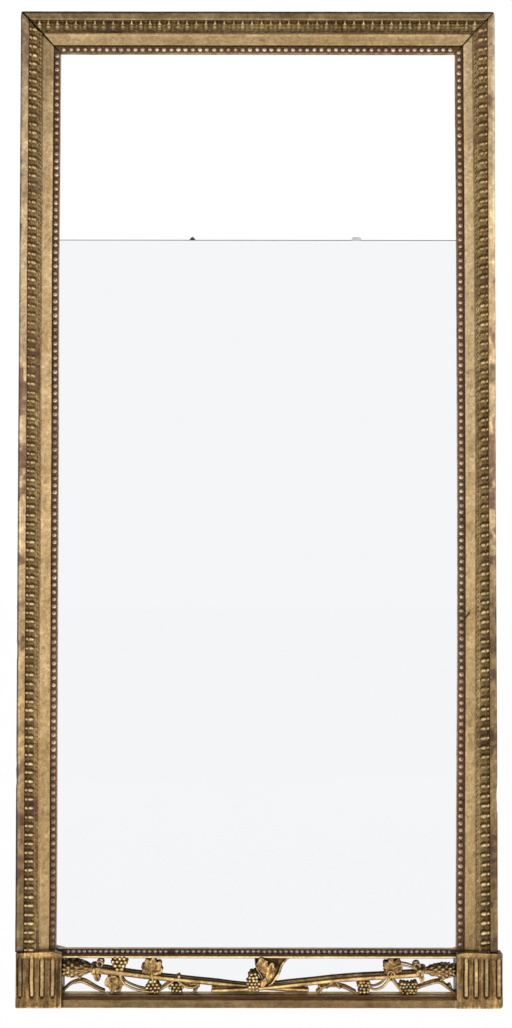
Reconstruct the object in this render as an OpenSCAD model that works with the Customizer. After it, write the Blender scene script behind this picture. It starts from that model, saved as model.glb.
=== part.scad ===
// Tall pier mirror: carved giltwood frame on a pine back frame, two mirror
// plates one above the other, and a low pierced frieze of crossed staffs and
// vine between two reeded corner blocks.
// Millimetres. X across, Z up, front towards -Y, wall plane at Y = 0.
// Origin: on the wall plane, on the centre line, level with the pins of the
// two hanging eyes.

/* [Overall] */
// Overall height of the mirror
overall_h = 1800; // [1700:10:1900]
// Width over the two stiles
frame_w = 863; // [820:1:900]
// Face width of the stiles and of the top rail
face_w = 71.5; // [71.5:0.1:72]
// Height of the wall-side frame's top edge below the front's top edge
back_inset = 1.5; // [1:0.5:3]

/* [Corner blocks and lower rails] */
// Width of a corner block
block_w = 82.5; // [78:0.5:85]
// Height of a corner block
block_h = 98; // [96:1:100]
// Half the distance over both corner blocks
block_half = 435; // [432:0.5:438]
// Sideways offset of the lower section against the stiles, as put together
base_shift = 5.5; // [0:0.5:6]
// Height of the base rail
base_rail_h = 23.5; // [22:0.5:24]
// Underside of the beaded cross rail
cross_z0 = 84.5; // [84:0.5:87]
// Top of the beaded cross rail, the lower sight edge
cross_z1 = 101; // [100:0.5:103]

/* [Section] */
// Distance from the wall to the back of the front members
front_h = 21.5; // [21.5:0.5:22]
// Width of the rebate that the plates sit in
rebate_w = 11.5; // [10:0.5:13]
// Open gap at each face of the two top mitres
mitre_gap = 0.7; // [0.2:0.1:1.5]

/* [Carving] */
// Pitch of the ribs of the leaf moulding on the stiles
leaf_pitch = 16.4; // [15:0.1:18]
// Pitch of the beads on the stiles and top rail
bead_pitch = 12.9; // [12:0.1:14]
// Pitch of the beads on the cross rail
small_bead_pitch = 9.8; // [9:0.1:11]

/* [Plates] */
// Thickness of the mirror plates
plate_t = 3.2; // [3:0.1:3.2]
// Height of the joint between the two plates above the base
joint_z = 1384.5; // [1300:0.5:1450]

/* [Hanging eyes] */
// Distance of each hanging eye from the centre line
eye_x = 240; // [180:5:300]
// Radius of the hole in a hanging eye
eye_r = 8.5; // [7:0.5:9]
// Radius of the hinge pin
pin_r = 1.9; // [1.8:0.05:2]
// Radial running clearance of the eye on its pin
pin_clear = 0.05; // [0.03:0.01:0.08]

/* [Hidden] */
$fn = 48;
W2 = frame_w / 2;                 // half width over the stiles
hang_z = overall_h - 10;          // height of the hinge pins above the base
BX = W2 - back_inset;             // outer side of the back frame
BI = W2 - face_w + rebate_w;      // inner side of the back stiles
BT = overall_h - back_inset;      // top of the back frame
BZ = overall_h - face_w + rebate_w; // underside of the back top rail
lap = front_h / 2;                // depth of the half laps
board_d = 8;                      // depth of the rebate for the backboards
board_x = BI + 12;                // outer edge of that rebate
pl_back = front_h - plate_t;      // back face of the plates
inner_h = front_h - 4;            // front of the battens behind the plates
bl0 = -block_half + base_shift;   // outer side of the left block
bl1 = bl0 + block_w;              // inner side of the left block
br1 = block_half + base_shift;    // outer side of the right block
br0 = br1 - block_w;              // inner side of the right block
cb0 = 75;                         // underside of the back cross rail
cb1 = 115;                        // top of the back cross rail
bb1 = 34;                         // top of the back base rail
pin_h = 3.6;                      // distance of the hinge pin from the wall
eye_drop = 19;                    // hinge pin to the centre of the eye's hole

GOLD = [0.66, 0.52, 0.28];
OLDGOLD = [0.55, 0.42, 0.22];
CARVED = [0.72, 0.55, 0.25];
PINE = [0.74, 0.60, 0.41];
PINE2 = [0.68, 0.54, 0.36];
IRON = [0.22, 0.20, 0.19];
MIRROR = [0.88, 0.91, 0.93];

// ---------- helpers ----------

// Puts a piece drawn above the base into the frame of the origin
module place() { translate([0, 0, -hang_z]) children(); }

// A box from side to side, from one distance off the wall to another, and from one height to another
module box(x0, x1, h0, h1, z0, z1) {
  translate([x0, -h1, z0]) cube([x1 - x0, h1 - h0, z1 - z0]);
}

// A section [u, h] run up a left member: u is measured inwards from the outer edge
module run_up(section, z0, z1) {
  translate([0, 0, z0]) linear_extrude(height = z1 - z0)
    polygon([for (p = section) [-W2 + p[0], -p[1]]]);
}

// The same section run along the top member: u is measured down from the top edge
module run_across(section) {
  translate([-W2 - 1, 0, 0]) rotate([90, 0, 90]) linear_extrude(height = 2 * W2 + 2)
    polygon([for (p = section) [-p[1], overall_h - p[0]]]);
}

// Everything in front of a shape drawn as [x, z] on the wall
module on_wall(outline, h0, h1) {
  translate([0, -h0, 0]) rotate([90, 0, 0]) linear_extrude(height = h1 - h0) polygon(outline);
}

// Region of the left stile below its mitre
module stile_region(z0) {
  on_wall([[-W2 - 5, z0], [-W2 + 90, z0], [-W2 + 90, overall_h - 90 - mitre_gap],
           [-W2 - 5, overall_h + 5 - mitre_gap]], 0, 70);
}

// Region of the top rail between its two mitres
module rail_region() {
  on_wall([[-W2 - 5, overall_h + 5 + mitre_gap], [-W2 + 90, overall_h - 90 + mitre_gap],
           [W2 - 90, overall_h - 90 + mitre_gap], [W2 + 5, overall_h + 5 + mitre_gap]], 0, 70);
}

// Points of a smooth curve through the given points
function curve_at(a, b, c, d, t) = 0.5 * (2 * b + (c - a) * t + (2 * a - 5 * b + 4 * c - d) * t * t
  + (3 * b - a - 3 * c + d) * t * t * t);
function smooth(p, n = 4) = concat(
  [for (i = [0 : len(p) - 2]) for (k = [0 : n - 1])
    curve_at(p[max(i - 1, 0)], p[i], p[i + 1], p[min(i + 2, len(p) - 1)], k / n)],
  [p[len(p) - 1]]);
function side(p, i) = let (d = p[min(i + 1, len(p) - 1)] - p[max(i - 1, 0)]) [-d[1], d[0]] / norm(d);
function band(p, w) = concat(
  [for (i = [0 : len(p) - 1]) p[i] + side(p, i) * w / 2],
  [for (i = [len(p) - 1 : -1 : 0]) p[i] - side(p, i) * w / 2]);

// A carved stem that follows [x, z] points, from one distance off the wall to another
module stem(points, w, h0, h1) { on_wall(band(smooth(points), w), h0, h1); }

// A straight tapered stem between two [x, h, z] points
module taper(p, q, r0, r1) {
  a = [p[0], -p[1], p[2]];
  d = [q[0], -q[1], q[2]] - a;
  translate(a) rotate([0, acos(d[2] / norm(d)), atan2(d[1], d[0])])
    cylinder(r1 = r0, r2 = r1, h = norm(d), $fn = 32);
}

// A bunch of grapes: rows of round berries on a carved core
module bunch(x, z, rows, r, h) {
  step = r * 2.04;
  drop = r * 1.86;
  n = len(rows) - 1;
  on_wall([[x - rows[0] * step / 2 + 1, z + r * 0.7], [x + rows[0] * step / 2 - 1, z + r * 0.7],
           [x + max(rows) * step / 2 - 0.6, z - drop * n * 0.5], [x + rows[n] * step / 2 - 1, z - drop * n - r * 0.6],
           [x - rows[n] * step / 2 + 1, z - drop * n - r * 0.6], [x - max(rows) * step / 2 + 0.6, z - drop * n * 0.5]],
          h - 4, h + 0.8);
  for (i = [0 : n]) for (k = [0 : rows[i] - 1])
    translate([x + (k - (rows[i] - 1) / 2) * step, -(h + 1.1), z - i * drop])
      sphere(r = r * 0.97, $fn = 24);
}

// Outline of a lobed vine leaf
function leaf_outline(rx, rz, n, turn) = [for (i = [0 : 4 * n - 1])
  let (a = i * 360 / (4 * n), k = 0.80 + 0.20 * cos(a * n))
  [rx * k * cos(a) * cos(turn) - rz * k * sin(a) * sin(turn),
   rx * k * cos(a) * sin(turn) + rz * k * sin(a) * cos(turn)]];

module leaf(x, z, rx, rz, n, turn, h0, h1) {
  translate([x, 0, z]) on_wall(leaf_outline(rx, rz, n, turn), h0, h1);
}

// ---------- carved front ----------

// Section of stiles and top rail: outer band, leaf channel, fillet, cove, bead channel, rim
front_section = [
  [0, front_h], [0, 44], [0.7, 45.8], [2.4, 46.5], [11.6, 46.5], [12.8, 46.1], [13.4, 45],
  [13.4, 34.5], [34.6, 34.5], [34.6, 37.2], [35.2, 37.8], [37.6, 37.8], [38.2, 37.2],
  [38.4, 35.4], [42, 34.4], [46, 33.7], [50, 33.3], [54, 33.2], [57.2, 33.4], [58, 32.8],
  [58, 24.3], [69.4, 24.3], [69.4, 28.6], [70, 29], [71, 29], [face_w, 28.4], [face_w, front_h]
];
// Section of the leaf moulding's ground
leaf_section = [[13.6, 34.5], [13.6, 40.5], [17, 42], [22, 41.8], [27, 40], [31, 37.6],
                [34.4, 36], [34.4, 34.5]];
// Section of the bead strip's ground
bead_section = [[58.2, 24.3], [58.2, 27.8], [59, 28.4], [68.4, 28.4], [69.2, 27.8], [69.2, 24.3]];
bead_u = 63.7;
n_leaf = floor((overall_h - 36 - block_h) / leaf_pitch);
n_bead = floor((overall_h - 66 - cross_z1) / bead_pitch);
n_leaf_top = 48;
n_bead_top = 56;

module stile_body() {
  difference() {
    intersection() { run_up(front_section, block_h, overall_h); stile_region(0); }
    for (u = [22, 48]) translate([-W2 + u, -28, block_h - 1]) cylinder(r = 3.5, h = 21);
  }
}
module left_stile() { color(GOLD) place() stile_body(); }
module right_stile() { color(GOLD) place() mirror([1, 0, 0]) stile_body(); }
module top_rail() {
  color(GOLD) place() intersection() { run_across(front_section); rail_region(); }
}

// Leaf moulding of a stile: ribs that lie across the member and fall towards the glass
module leaf_strip_up() {
  intersection() {
    union() {
      run_up(leaf_section, block_h, overall_h);
      for (i = [0 : n_leaf - 1]) translate([-W2 + 14.6, 0, block_h + 9 + i * leaf_pitch])
        taper([0, 41.8, 0], [18.4, 37.4, 0], 3.9, 2.9);
    }
    stile_region(block_h);
  }
}
module left_leaf_moulding() { color(CARVED) place() leaf_strip_up(); }
module right_leaf_moulding() { color(CARVED) place() mirror([1, 0, 0]) leaf_strip_up(); }
module top_leaf_moulding() {
  color(CARVED) place() intersection() {
    union() {
      run_across(leaf_section);
      for (i = [0 : n_leaf_top - 1])
        taper([(i - (n_leaf_top - 1) / 2) * 17, 41.8, overall_h - 14.6],
              [(i - (n_leaf_top - 1) / 2) * 17, 37.4, overall_h - 33], 3.9, 2.9);
    }
    rail_region();
  }
}

module bead_strip_up() {
  intersection() {
    union() {
      run_up(bead_section, block_h, overall_h);
      for (i = [0 : n_bead - 1]) translate([-W2 + bead_u, -28.8, cross_z1 + 6 + i * bead_pitch])
        sphere(r = 4.4, $fn = 24);
    }
    stile_region(block_h);
  }
}
module left_bead_strip() { color(CARVED) place() bead_strip_up(); }
module right_bead_strip() { color(CARVED) place() mirror([1, 0, 0]) bead_strip_up(); }
module top_bead_strip() {
  color(CARVED) place() intersection() {
    union() {
      run_across(bead_section);
      for (i = [0 : n_bead_top - 1])
        translate([(i - (n_bead_top - 1) / 2) * bead_pitch, -28.8, overall_h - bead_u])
          sphere(r = 4.4, $fn = 24);
    }
    rail_region();
  }
}

// ---------- lower section ----------

XI = W2 - face_w;   // half the sight width

module cross_rail() {
  color(OLDGOLD) place() difference() {
    translate([-XI, 0, 0]) rotate([90, 0, 90]) linear_extrude(height = 2 * XI)
      polygon([[-front_h, cross_z0], [-32, cross_z0], [-33.6, cross_z0 + 1.2], [-34, cross_z0 + 3],
               [-33.4, cross_z0 + 4.6], [-31.4, cross_z0 + 6.4], [-30, cross_z0 + 8.2], [-24.6, cross_z0 + 8.2],
               [-24.6, cross_z1 - 1.3], [-28, cross_z1 - 1.3], [-28.5, cross_z1 - 0.8],
               [-28.5, cross_z1], [-front_h, cross_z1]]);
    box(-XI - 10, bl1, 0, 70, 50, block_h);
    box(br0, XI + 10, 0, 70, 50, block_h);
  }
}
n_small = floor((br0 - bl1 - 6) / small_bead_pitch);
module cross_rail_bead_strip() {
  color(CARVED) place() {
    box(bl1, min(br0, XI), 24.6, 27.3, cross_z0 + 8.2, cross_z1 - 1.3);
    for (i = [0 : n_small - 1])
      translate([(bl1 + min(br0, XI)) / 2 + (i - (n_small - 1) / 2) * small_bead_pitch, -28,
                 (cross_z0 + 8.2 + cross_z1 - 1.3) / 2])
        sphere(r = 3.3, $fn = 24);
  }
}
module base_rail() {
  color(OLDGOLD) place() translate([bl1, 0, 0]) rotate([90, 0, 90])
    linear_extrude(height = br0 - bl1)
    polygon([[-front_h, 0], [-48, 0], [-49, 1], [-49, 14], [-48, 15], [-43, 15.4], [-39, 16.4],
             [-37.4, 17.8], [-37, 19.6], [-35.4, 20], [-34, 20], [-front_h, base_rail_h]]);
}

// A corner block with its top and foot left square and four raised reeds in a sunk panel
module block(x0, reed_off) {
  xc = x0 + block_w / 2 + reed_off;
  union() {
      translate([x0, 0, 0]) rotate([90, 0, 90]) linear_extrude(height = block_w)
        polygon([[-front_h, 0], [-51.6, 0], [-52.4, 0.8], [-52.4, 15.6], [-51.6, 17], [-48.6, 18.4],
                 [-48.6, 88.6], [-51.4, 90], [-52.4, 91.6], [-52.4, block_h - 2.4],
                 [-51.6, block_h - 0.8], [-50, block_h], [-front_h, block_h]]);
      for (k = [-1.5 : 1 : 1.5]) {
        translate([xc + k * 19.5, -48.8, 22.4]) cylinder(r = 3.4, h = 62.4, $fn = 24);
        for (z = [22.4, 84.8]) translate([xc + k * 19.5, -48.8, z]) sphere(r = 3.55, $fn = 24);
      }
  }
}
dowel_xs = [-W2 + 22, -W2 + 48, W2 - 48, W2 - 22];
module left_corner_block() {
  color(GOLD) place() difference() {
    block(bl0, -3.7);
    for (x = [dowel_xs[0], dowel_xs[1]]) translate([x, -28, block_h - 20]) cylinder(r = 3.5, h = 21);
  }
}
module right_corner_block() {
  color(GOLD) place() difference() {
    block(br0, 4.3);
    for (x = [dowel_xs[2], dowel_xs[3]]) translate([x, -28, block_h - 20]) cylinder(r = 3.5, h = 21);
  }
}
// Glue dowels that locate the stiles on the corner blocks
module block_dowels() {
  color(PINE) place() for (x = dowel_xs) translate([x, -28, block_h - 19]) cylinder(r = 3.45, h = 38);
}

// ---------- frieze carving ----------

module left_staff() {
  color(CARVED) place() {
    taper([-279, 29.6, 63.4], [-190, 29, 52], 5.6, 5);
    taper([-190, 29, 52], [-88, 28.2, 41.8], 5, 4.9);
    taper([-88, 28.2, 41.8], [0, 27.4, 33], 4.9, 4.6);
    taper([0, 27.4, 33], [92, 26.8, 27.4], 4.6, 4.2);
    for (p = [[-190, 29, 52, 5.3], [-88, 28.2, 41.8, 5.2], [0, 27.4, 33, 4.9]])
      translate([p[0], -p[1], p[2]]) rotate([20, 30, 0]) sphere(r = p[3], $fn = 32);
  }
}
module right_staff() {
  color(CARVED) place() {
    taper([292, 33, 57], [186, 34.5, 50.2], 5.3, 4.8);
    taper([186, 34.5, 50.2], [120, 35.4, 44.4], 4.8, 4.7);
    taper([120, 35.4, 44.4], [27, 36.6, 34.4], 4.7, 4.5);
    taper([27, 36.6, 34.4], [-77, 33.6, 28], 4.5, 4.1);
    for (p = [[186, 34.5, 50.2, 5.1], [120, 35.4, 44.4, 5], [27, 36.6, 34.4, 4.8]])
      translate([p[0], -p[1], p[2]]) rotate([20, 30, 0]) sphere(r = p[3], $fn = 32);
  }
}

// A pine cone turned about its own axis and cut flat at the back
module cone_piece(x, z, tilt, s) {
  intersection() {
    translate([x, -29.4, z]) rotate([0, tilt, 0]) scale(s) rotate_extrude($fn = 64)
      polygon([[0, 0], [9.4, 0], [12.8, 5], [15.4, 12], [16.8, 20], [16.6, 28], [14.8, 36],
               [11.4, 43], [7.4, 48.5], [5.8, 52], [5.8, 56], [0, 56]]);
    box(bl1, br0, 22.6, 60, 20, 90);
  }
}
module left_pine_cone() { color(CARVED) place() cone_piece(bl1 - 0.5, 67.4, 92, 1); }
module right_pine_cone() { color(CARVED) place() cone_piece(br0 + 0.5, 63.6, -93, 0.9); }

// A ribbon tied where cone and staff meet: one turn, a rolled loop above and a tail below
module knot(x, z, dir) {
  translate([x, -30, z]) rotate([0, 90 - 6 * dir, 0]) translate([0, 0, -4.6]) rotate_extrude($fn = 48)
    polygon([[4.7, 0], [7.4, 0], [8.2, 2], [7.8, 4.2], [8.3, 6.6], [7.5, 9], [4.7, 9]]);
  translate([x - dir * 4, -29.4, z + 9]) rotate([90, 0, 0]) cylinder(r = 4.8, h = 7.4, $fn = 32);
  on_wall([[x + dir * 3.4, z - 4], [x - dir * 1.6, z - 4], [x - dir * 7.4, z - 14.6], [x - dir * 4, z - 17],
           [x + dir * 1.4, z - 11]], 29, 37);
}
module left_ribbon_knot() { color(CARVED) place() knot(-286.5, 64.2, 1); }
module right_ribbon_knot() { color(CARVED) place() knot(297, 57.6, -1); }

module left_vine() {
  color(CARVED) place() {
    stem([[-343, 26.4], [-335, 36.4], [-322, 42.4], [-313, 43.4], [-302, 39], [-288, 31], [-274, 25]], 5, 27, 32);
    stem([[-245, 66], [-244, 56], [-241, 46], [-232, 37], [-212, 29], [-196, 26]], 5, 27, 37);
    stem([[-241, 52], [-247, 41], [-254, 32], [-258, 25]], 4.4, 27.6, 33);
    stem([[-188, 64], [-186, 52], [-185, 40]], 4.4, 28, 37);
    stem([[-176, 25], [-164, 34], [-152, 42], [-141, 52]], 4.8, 27, 36);
    stem([[-144, 50.4], [-137, 43], [-129, 36.4], [-117, 33.4], [-103, 36.2]], 4.8, 27.6, 35.4);
  }
}
module right_vine() {
  color(CARVED) place() {
    stem([[110, 24.6], [119, 32], [141, 35.6], [157, 33.6], [175, 25.6]], 4.8, 27, 32);
    stem([[127, 33], [134, 41.4], [144.4, 50.6]], 4.4, 29, 42);
    stem([[142, 49.6], [149, 33]], 4.4, 29.6, 41.4);
    stem([[201, 38], [211, 31.6], [225, 35.4], [235, 45], [242, 55], [244, 68]], 4.8, 28, 41);
    stem([[240.6, 56], [253, 37], [259, 28]], 4.6, 28.6, 40.4);
    stem([[243, 65], [254, 71], [263, 72], [276, 69.6], [292, 63]], 4.2, 30, 35);
    stem([[288, 31.6], [307, 38.4], [325, 43], [334, 40.4], [346, 32], [353, 25.4]], 5, 27, 32);
  }
}

module left_grape_clusters() {
  color(CARVED) place() {
    bunch(-245.5, 83, [4, 3, 2], 4.1, 30);
    bunch(-185.5, 42, [3, 4, 3], 3.7, 30);
    bunch(-143, 37.4, [3, 3], 3.6, 30);
  }
}
module right_grape_clusters() {
  color(CARVED) place() {
    bunch(194, 39.6, [3, 4, 3], 3.6, 30);
    bunch(274, 37, [4, 5, 4], 3.7, 30);
  }
}
module centre_grape_cluster() { color(CARVED) place() bunch(-6, 55.4, [2, 3, 3, 3, 2], 3.9, 38.6); }

module left_vine_leaves() {
  color(CARVED) place() {
    leaf(-187, 72, 20, 16.4, 5, 12, 25, 33.4);
    leaf(-258, 38.4, 16, 13.4, 4, 45, 25, 32.4);
  }
}
module right_vine_leaf() { color(CARVED) place() leaf(245.5, 72, 17, 16.4, 5, -10, 25, 34); }
module centre_vine_leaf() { color(CARVED) place() leaf(21, 65, 22, 22, 5, 30, 32.6, 40.4); }

// ---------- back frame ----------

module back_stile() {
  difference() {
    box(-BX, -BI, 0, front_h, back_inset, BT);
    // half laps for the three back rails
    box(-BX - 1, -BI + 1, -1, lap, BZ, BT + 1);
    box(-BX - 1, -BI + 1, -1, lap, cb0, cb1);
    box(-BX - 1, -BI + 1, -1, lap, -1, bb1);
    // rebates for the backboards
    box(-board_x - 0.5, -BI + 1, -1, board_d, 103, BZ + 12);
    box(-board_x - 0.5, -BI + 1, -1, board_d, 22, 87);
    // mortise for the batten
    box(-BI - 15, -BI + 1, 10, 17, joint_z - 15, joint_z + 15);
    peg_holes();
  }
}
module peg_holes() {
  for (x = [-BX + 18, -BI - 14]) for (z = [BZ + 22, BZ + 42])
    translate([x, 1, z]) rotate([90, 0, 0]) cylinder(r = 3.5, h = front_h - 3);
  for (x = [-BX + 18, -BI - 14]) for (z = [95, 17])
    translate([x, 1, z]) rotate([90, 0, 0]) cylinder(r = 3.5, h = front_h - 3);
}
module left_back_stile() { color(PINE) place() back_stile(); }
module right_back_stile() { color(PINE) place() mirror([1, 0, 0]) back_stile(); }

// A back rail: full depth between the stiles, half depth across them
module back_rail(z0, z1) {
  box(-BX, BX, 0, lap, z0, z1);
  box(-BI, BI, 0, front_h, z0, z1);
}
module all_peg_holes() { peg_holes(); mirror([1, 0, 0]) peg_holes(); }

module back_top_rail() {
  color(PINE2) place() difference() {
    back_rail(BZ, BT);
    box(-board_x - 0.5, board_x + 0.5, -1, board_d, BZ - 1, BZ + 12);
    for (s = [-1, 1]) box(s * eye_x - 38.4, s * eye_x + 38.4, -1, 9.6, hang_z - 33.4, BT + 1);
    all_peg_holes();
  }
}
module back_cross_rail() {
  color(PINE2) place() difference() {
    union() {
      box(-BX, BX, 0, lap, cb0, cb1);
      box(-BI, BI, 0, inner_h, cb0, cb1);
      box(-BI, BI, 0, front_h, cross_z0 + 4.2, cross_z1 - 5.2);
    }
    box(-board_x - 0.5, board_x + 0.5, -1, board_d, 103, cb1 + 1);
    box(-board_x - 0.5, board_x + 0.5, -1, board_d, cb0 - 1, 87);
    all_peg_holes();
  }
}
module back_base_rail() {
  color(PINE2) place() difference() {
    union() {
      box(-BX, BX, 0, lap, back_inset, bb1);
      box(-BI, BI, 0, inner_h, back_inset, bb1);
      box(-BI, BI, 0, front_h, back_inset, base_rail_h - 6);
    }
    box(-board_x - 0.5, board_x + 0.5, -1, board_d, 22, bb1 + 1);
    all_peg_holes();
  }
}
module joint_batten() {
  color(PINE2) place() {
    box(-BI, BI, board_d, inner_h, joint_z - 22, joint_z + 22);
    box(-BI - 14.5, BI + 14.5, 10, 17, joint_z - 15, joint_z + 15);
  }
}
// Pegs through the half laps
module back_frame_pegs() {
  color(PINE) place() for (m = [0, 1]) mirror([m, 0, 0])
    for (x = [-BX + 18, -BI - 14]) for (z = [BZ + 22, BZ + 42, 95, 17])
      translate([x, -0.4, z]) rotate([90, 0, 0]) cylinder(r = 3.48, h = front_h - 4.4);
}

// ---------- plates and backboards ----------

module plate(z0, z1) { box(-BI + 1.5, BI - 1.5, pl_back, front_h, z0, z1); }
module upper_plate() { color(MIRROR) place() plate(joint_z + 0.6, BZ - 1.5); }
module lower_plate() { color(MIRROR) place() plate(cross_z1 - 5, joint_z - 0.6); }
module frieze_plate() { color(MIRROR) place() plate(base_rail_h - 5.5, cross_z0 + 4); }

// Glue block: triangular, one side on the rebate wall and one on the back of a plate
module glue_block(len) {
  translate([0, 0, -len / 2]) linear_extrude(height = len)
    polygon([[0, -pl_back], [10, -pl_back], [10, -pl_back + 2], [2, -board_d - 0.4], [0, -board_d - 0.4]]);
}
module plate_blocks() {
  color(PINE) place() {
    for (m = [0, 1]) mirror([m, 0, 0]) translate([-BI, 0, 0]) {
      for (z = [250, 500, 750, 1000, 1250, 1480, 1640]) translate([0, 0, z]) glue_block(45);
      translate([0, 0, 55]) glue_block(25);
    }
    for (x = [-220, 0, 220]) {
      translate([x, 0, BZ]) rotate([0, 90, 0]) glue_block(45);
      translate([x, 0, cb1]) rotate([0, -90, 0]) glue_block(45);
    }
  }
}

// Iron clip driven into the batten, through the joint of the plates, and turned up in front
module left_plate_clip() {
  color(IRON) place() {
    box(-122, -114, 10, front_h + 0.9, joint_z - 0.4, joint_z + 0.4);
    on_wall([[-124.6, joint_z - 0.4], [-111.4, joint_z - 0.4], [-115, joint_z + 4.2],
             [-117.4, joint_z + 6.2], [-119.4, joint_z + 5.4]], front_h + 0.05, front_h + 0.9);
  }
}
module right_plate_clip() {
  color(IRON) place() {
    box(177.6, 186, 10, front_h + 0.9, joint_z - 0.4, joint_z + 0.4);
    on_wall([[173, joint_z - 0.4], [190.6, joint_z - 0.4], [190, joint_z + 4.6], [186, joint_z + 6],
             [176, joint_z + 5.6], [173.4, joint_z + 4]], front_h + 0.05, front_h + 0.9);
  }
}

module board(x0, x1, z0, z1) { box(x0, x1, 0.6, board_d, z0, z1); }
third = (2 * board_x) / 3;
module left_backboard() { color(PINE) place() board(-board_x, -third / 2 - 0.3, 103.5, BZ + 11.5); }
module middle_backboard() { color(PINE2) place() board(-third / 2 + 0.3, third / 2 - 0.3, 103.5, BZ + 11.5); }
module right_backboard() { color(PINE) place() board(third / 2 + 0.3, board_x, 103.5, BZ + 11.5); }
module frieze_backboard() { color(PINE2) place() board(-board_x, board_x, 22.5, 86.5); }

nail_at = concat(
  [for (s = [-1, 0, 1]) for (d = [-70, 70]) for (z = [BZ + 6, 109, joint_z - 11]) [s * third + d, z]],
  [for (s = [-1, 1]) for (z = [300, 600, 900, 1200, 1560]) [s * (board_x - 6), z]],
  [for (x = [-300, -100, 100, 300]) for (z = [28, 81]) [x, z]],
  [for (s = [-1, 1]) [s * (board_x - 6), 54]]
);
// Forged nails through the backboards
module backboard_nails() {
  color(IRON) place() for (p = nail_at) translate([p[0], 0, p[1]]) rotate([90, 0, 0]) {
    translate([0, 0, 0.1]) cylinder(r = 2.7, h = 1.1, $fn = 24);
    translate([0, 0, 1]) cylinder(r = 1.1, h = 14, $fn = 24);
  }
}

// ---------- hanging eyes ----------

module hanger_plate(x) {
  difference() {
    union() {
      box(x - 38, x + 38, 7.4, 9.6, hang_z - 33, hang_z + 6);
      for (s = [-1, 1]) {
        translate([x + s * 9.3 - 3, -pin_h, hang_z]) rotate([0, 90, 0]) cylinder(r = 3.2, h = 6);
        box(x + s * 9.3 - 3, x + s * 9.3 + 3, pin_h, 8, hang_z - 3.2, hang_z + 3.2);
      }
    }
    translate([x - 20, -pin_h, hang_z]) rotate([0, 90, 0]) cylinder(r = pin_r, h = 40);
    for (s = [-1, 1]) for (z = [-25, -2]) translate([x + s * 31, -7.3, hang_z + z]) rotate([90, 0, 0]) {
      cylinder(r = 2.1, h = 3);
      cylinder(r1 = 4.2, r2 = 2.1, h = 1.9);
    }
  }
}
module left_hanger_plate() { color(IRON) place() hanger_plate(-eye_x); }
module right_hanger_plate() { color(IRON) place() hanger_plate(eye_x); }

module hinge_pin(x) {
  translate([x - 12.9, -pin_h, hang_z]) rotate([0, 90, 0]) {
    cylinder(r = pin_r, h = 25.8);
    translate([0, 0, -0.7]) cylinder(r = 2.5, h = 1);
    translate([0, 0, 25.5]) cylinder(r = 2.5, h = 1);
  }
}
module left_hinge_pin() { color(IRON) place() hinge_pin(-eye_x); }
module right_hinge_pin() { color(IRON) place() hinge_pin(eye_x); }

// Forged flat eye on a rolled barrel, hanging down in its recess
module hanging_eye(x) {
  difference() {
    union() {
      translate([x - 6, -pin_h, hang_z]) rotate([0, 90, 0]) cylinder(r = 3.2, h = 12);
      box(x - 5, x + 5, pin_h - 2, pin_h + 2, hang_z - eye_drop + eye_r + 1, hang_z);
      translate([x, -pin_h + 2, hang_z - eye_drop]) rotate([90, 0, 0]) cylinder(r = eye_r + 4.5, h = 4);
    }
    translate([x, -pin_h + 3, hang_z - eye_drop]) rotate([90, 0, 0]) cylinder(r = eye_r, h = 6);
    translate([x - 7, -pin_h, hang_z]) rotate([0, 90, 0]) cylinder(r = pin_r + pin_clear, h = 14);
  }
}
module left_hanging_eye() { color(IRON) place() hanging_eye(-eye_x); }
module right_hanging_eye() { color(IRON) place() hanging_eye(eye_x); }

// Countersunk wood screws that hold the hanger plates
module hanger_screws() {
  color(IRON) place() for (c = [-eye_x, eye_x]) for (s = [-1, 1]) for (z = [-25, -2])
    translate([c + s * 31, -7.45, hang_z + z]) rotate([90, 0, 0]) {
      difference() {
        cylinder(r1 = 3.9, r2 = 1.95, h = 1.7);
        translate([-5, -0.5, -1]) cube([10, 1, 1.7]);
      }
      cylinder(r = 1.75, h = 12);
    }
}

left_stile();
right_stile();
top_rail();
left_leaf_moulding();
right_leaf_moulding();
top_leaf_moulding();
left_bead_strip();
right_bead_strip();
top_bead_strip();
cross_rail();
cross_rail_bead_strip();
base_rail();
left_corner_block();
right_corner_block();
block_dowels();
left_staff();
right_staff();
left_pine_cone();
right_pine_cone();
left_ribbon_knot();
right_ribbon_knot();
left_vine();
right_vine();
left_grape_clusters();
right_grape_clusters();
centre_grape_cluster();
left_vine_leaves();
right_vine_leaf();
centre_vine_leaf();
left_back_stile();
right_back_stile();
back_top_rail();
back_cross_rail();
back_base_rail();
joint_batten();
back_frame_pegs();
upper_plate();
lower_plate();
frieze_plate();
plate_blocks();
left_plate_clip();
right_plate_clip();
left_backboard();
middle_backboard();
right_backboard();
frieze_backboard();
backboard_nails();
left_hanger_plate();
right_hanger_plate();
left_hinge_pin();
right_hinge_pin();
left_hanging_eye();
right_hanging_eye();
hanger_screws();
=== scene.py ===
import math

import bpy
import numpy as np
from mathutils import Matrix, Vector

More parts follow.
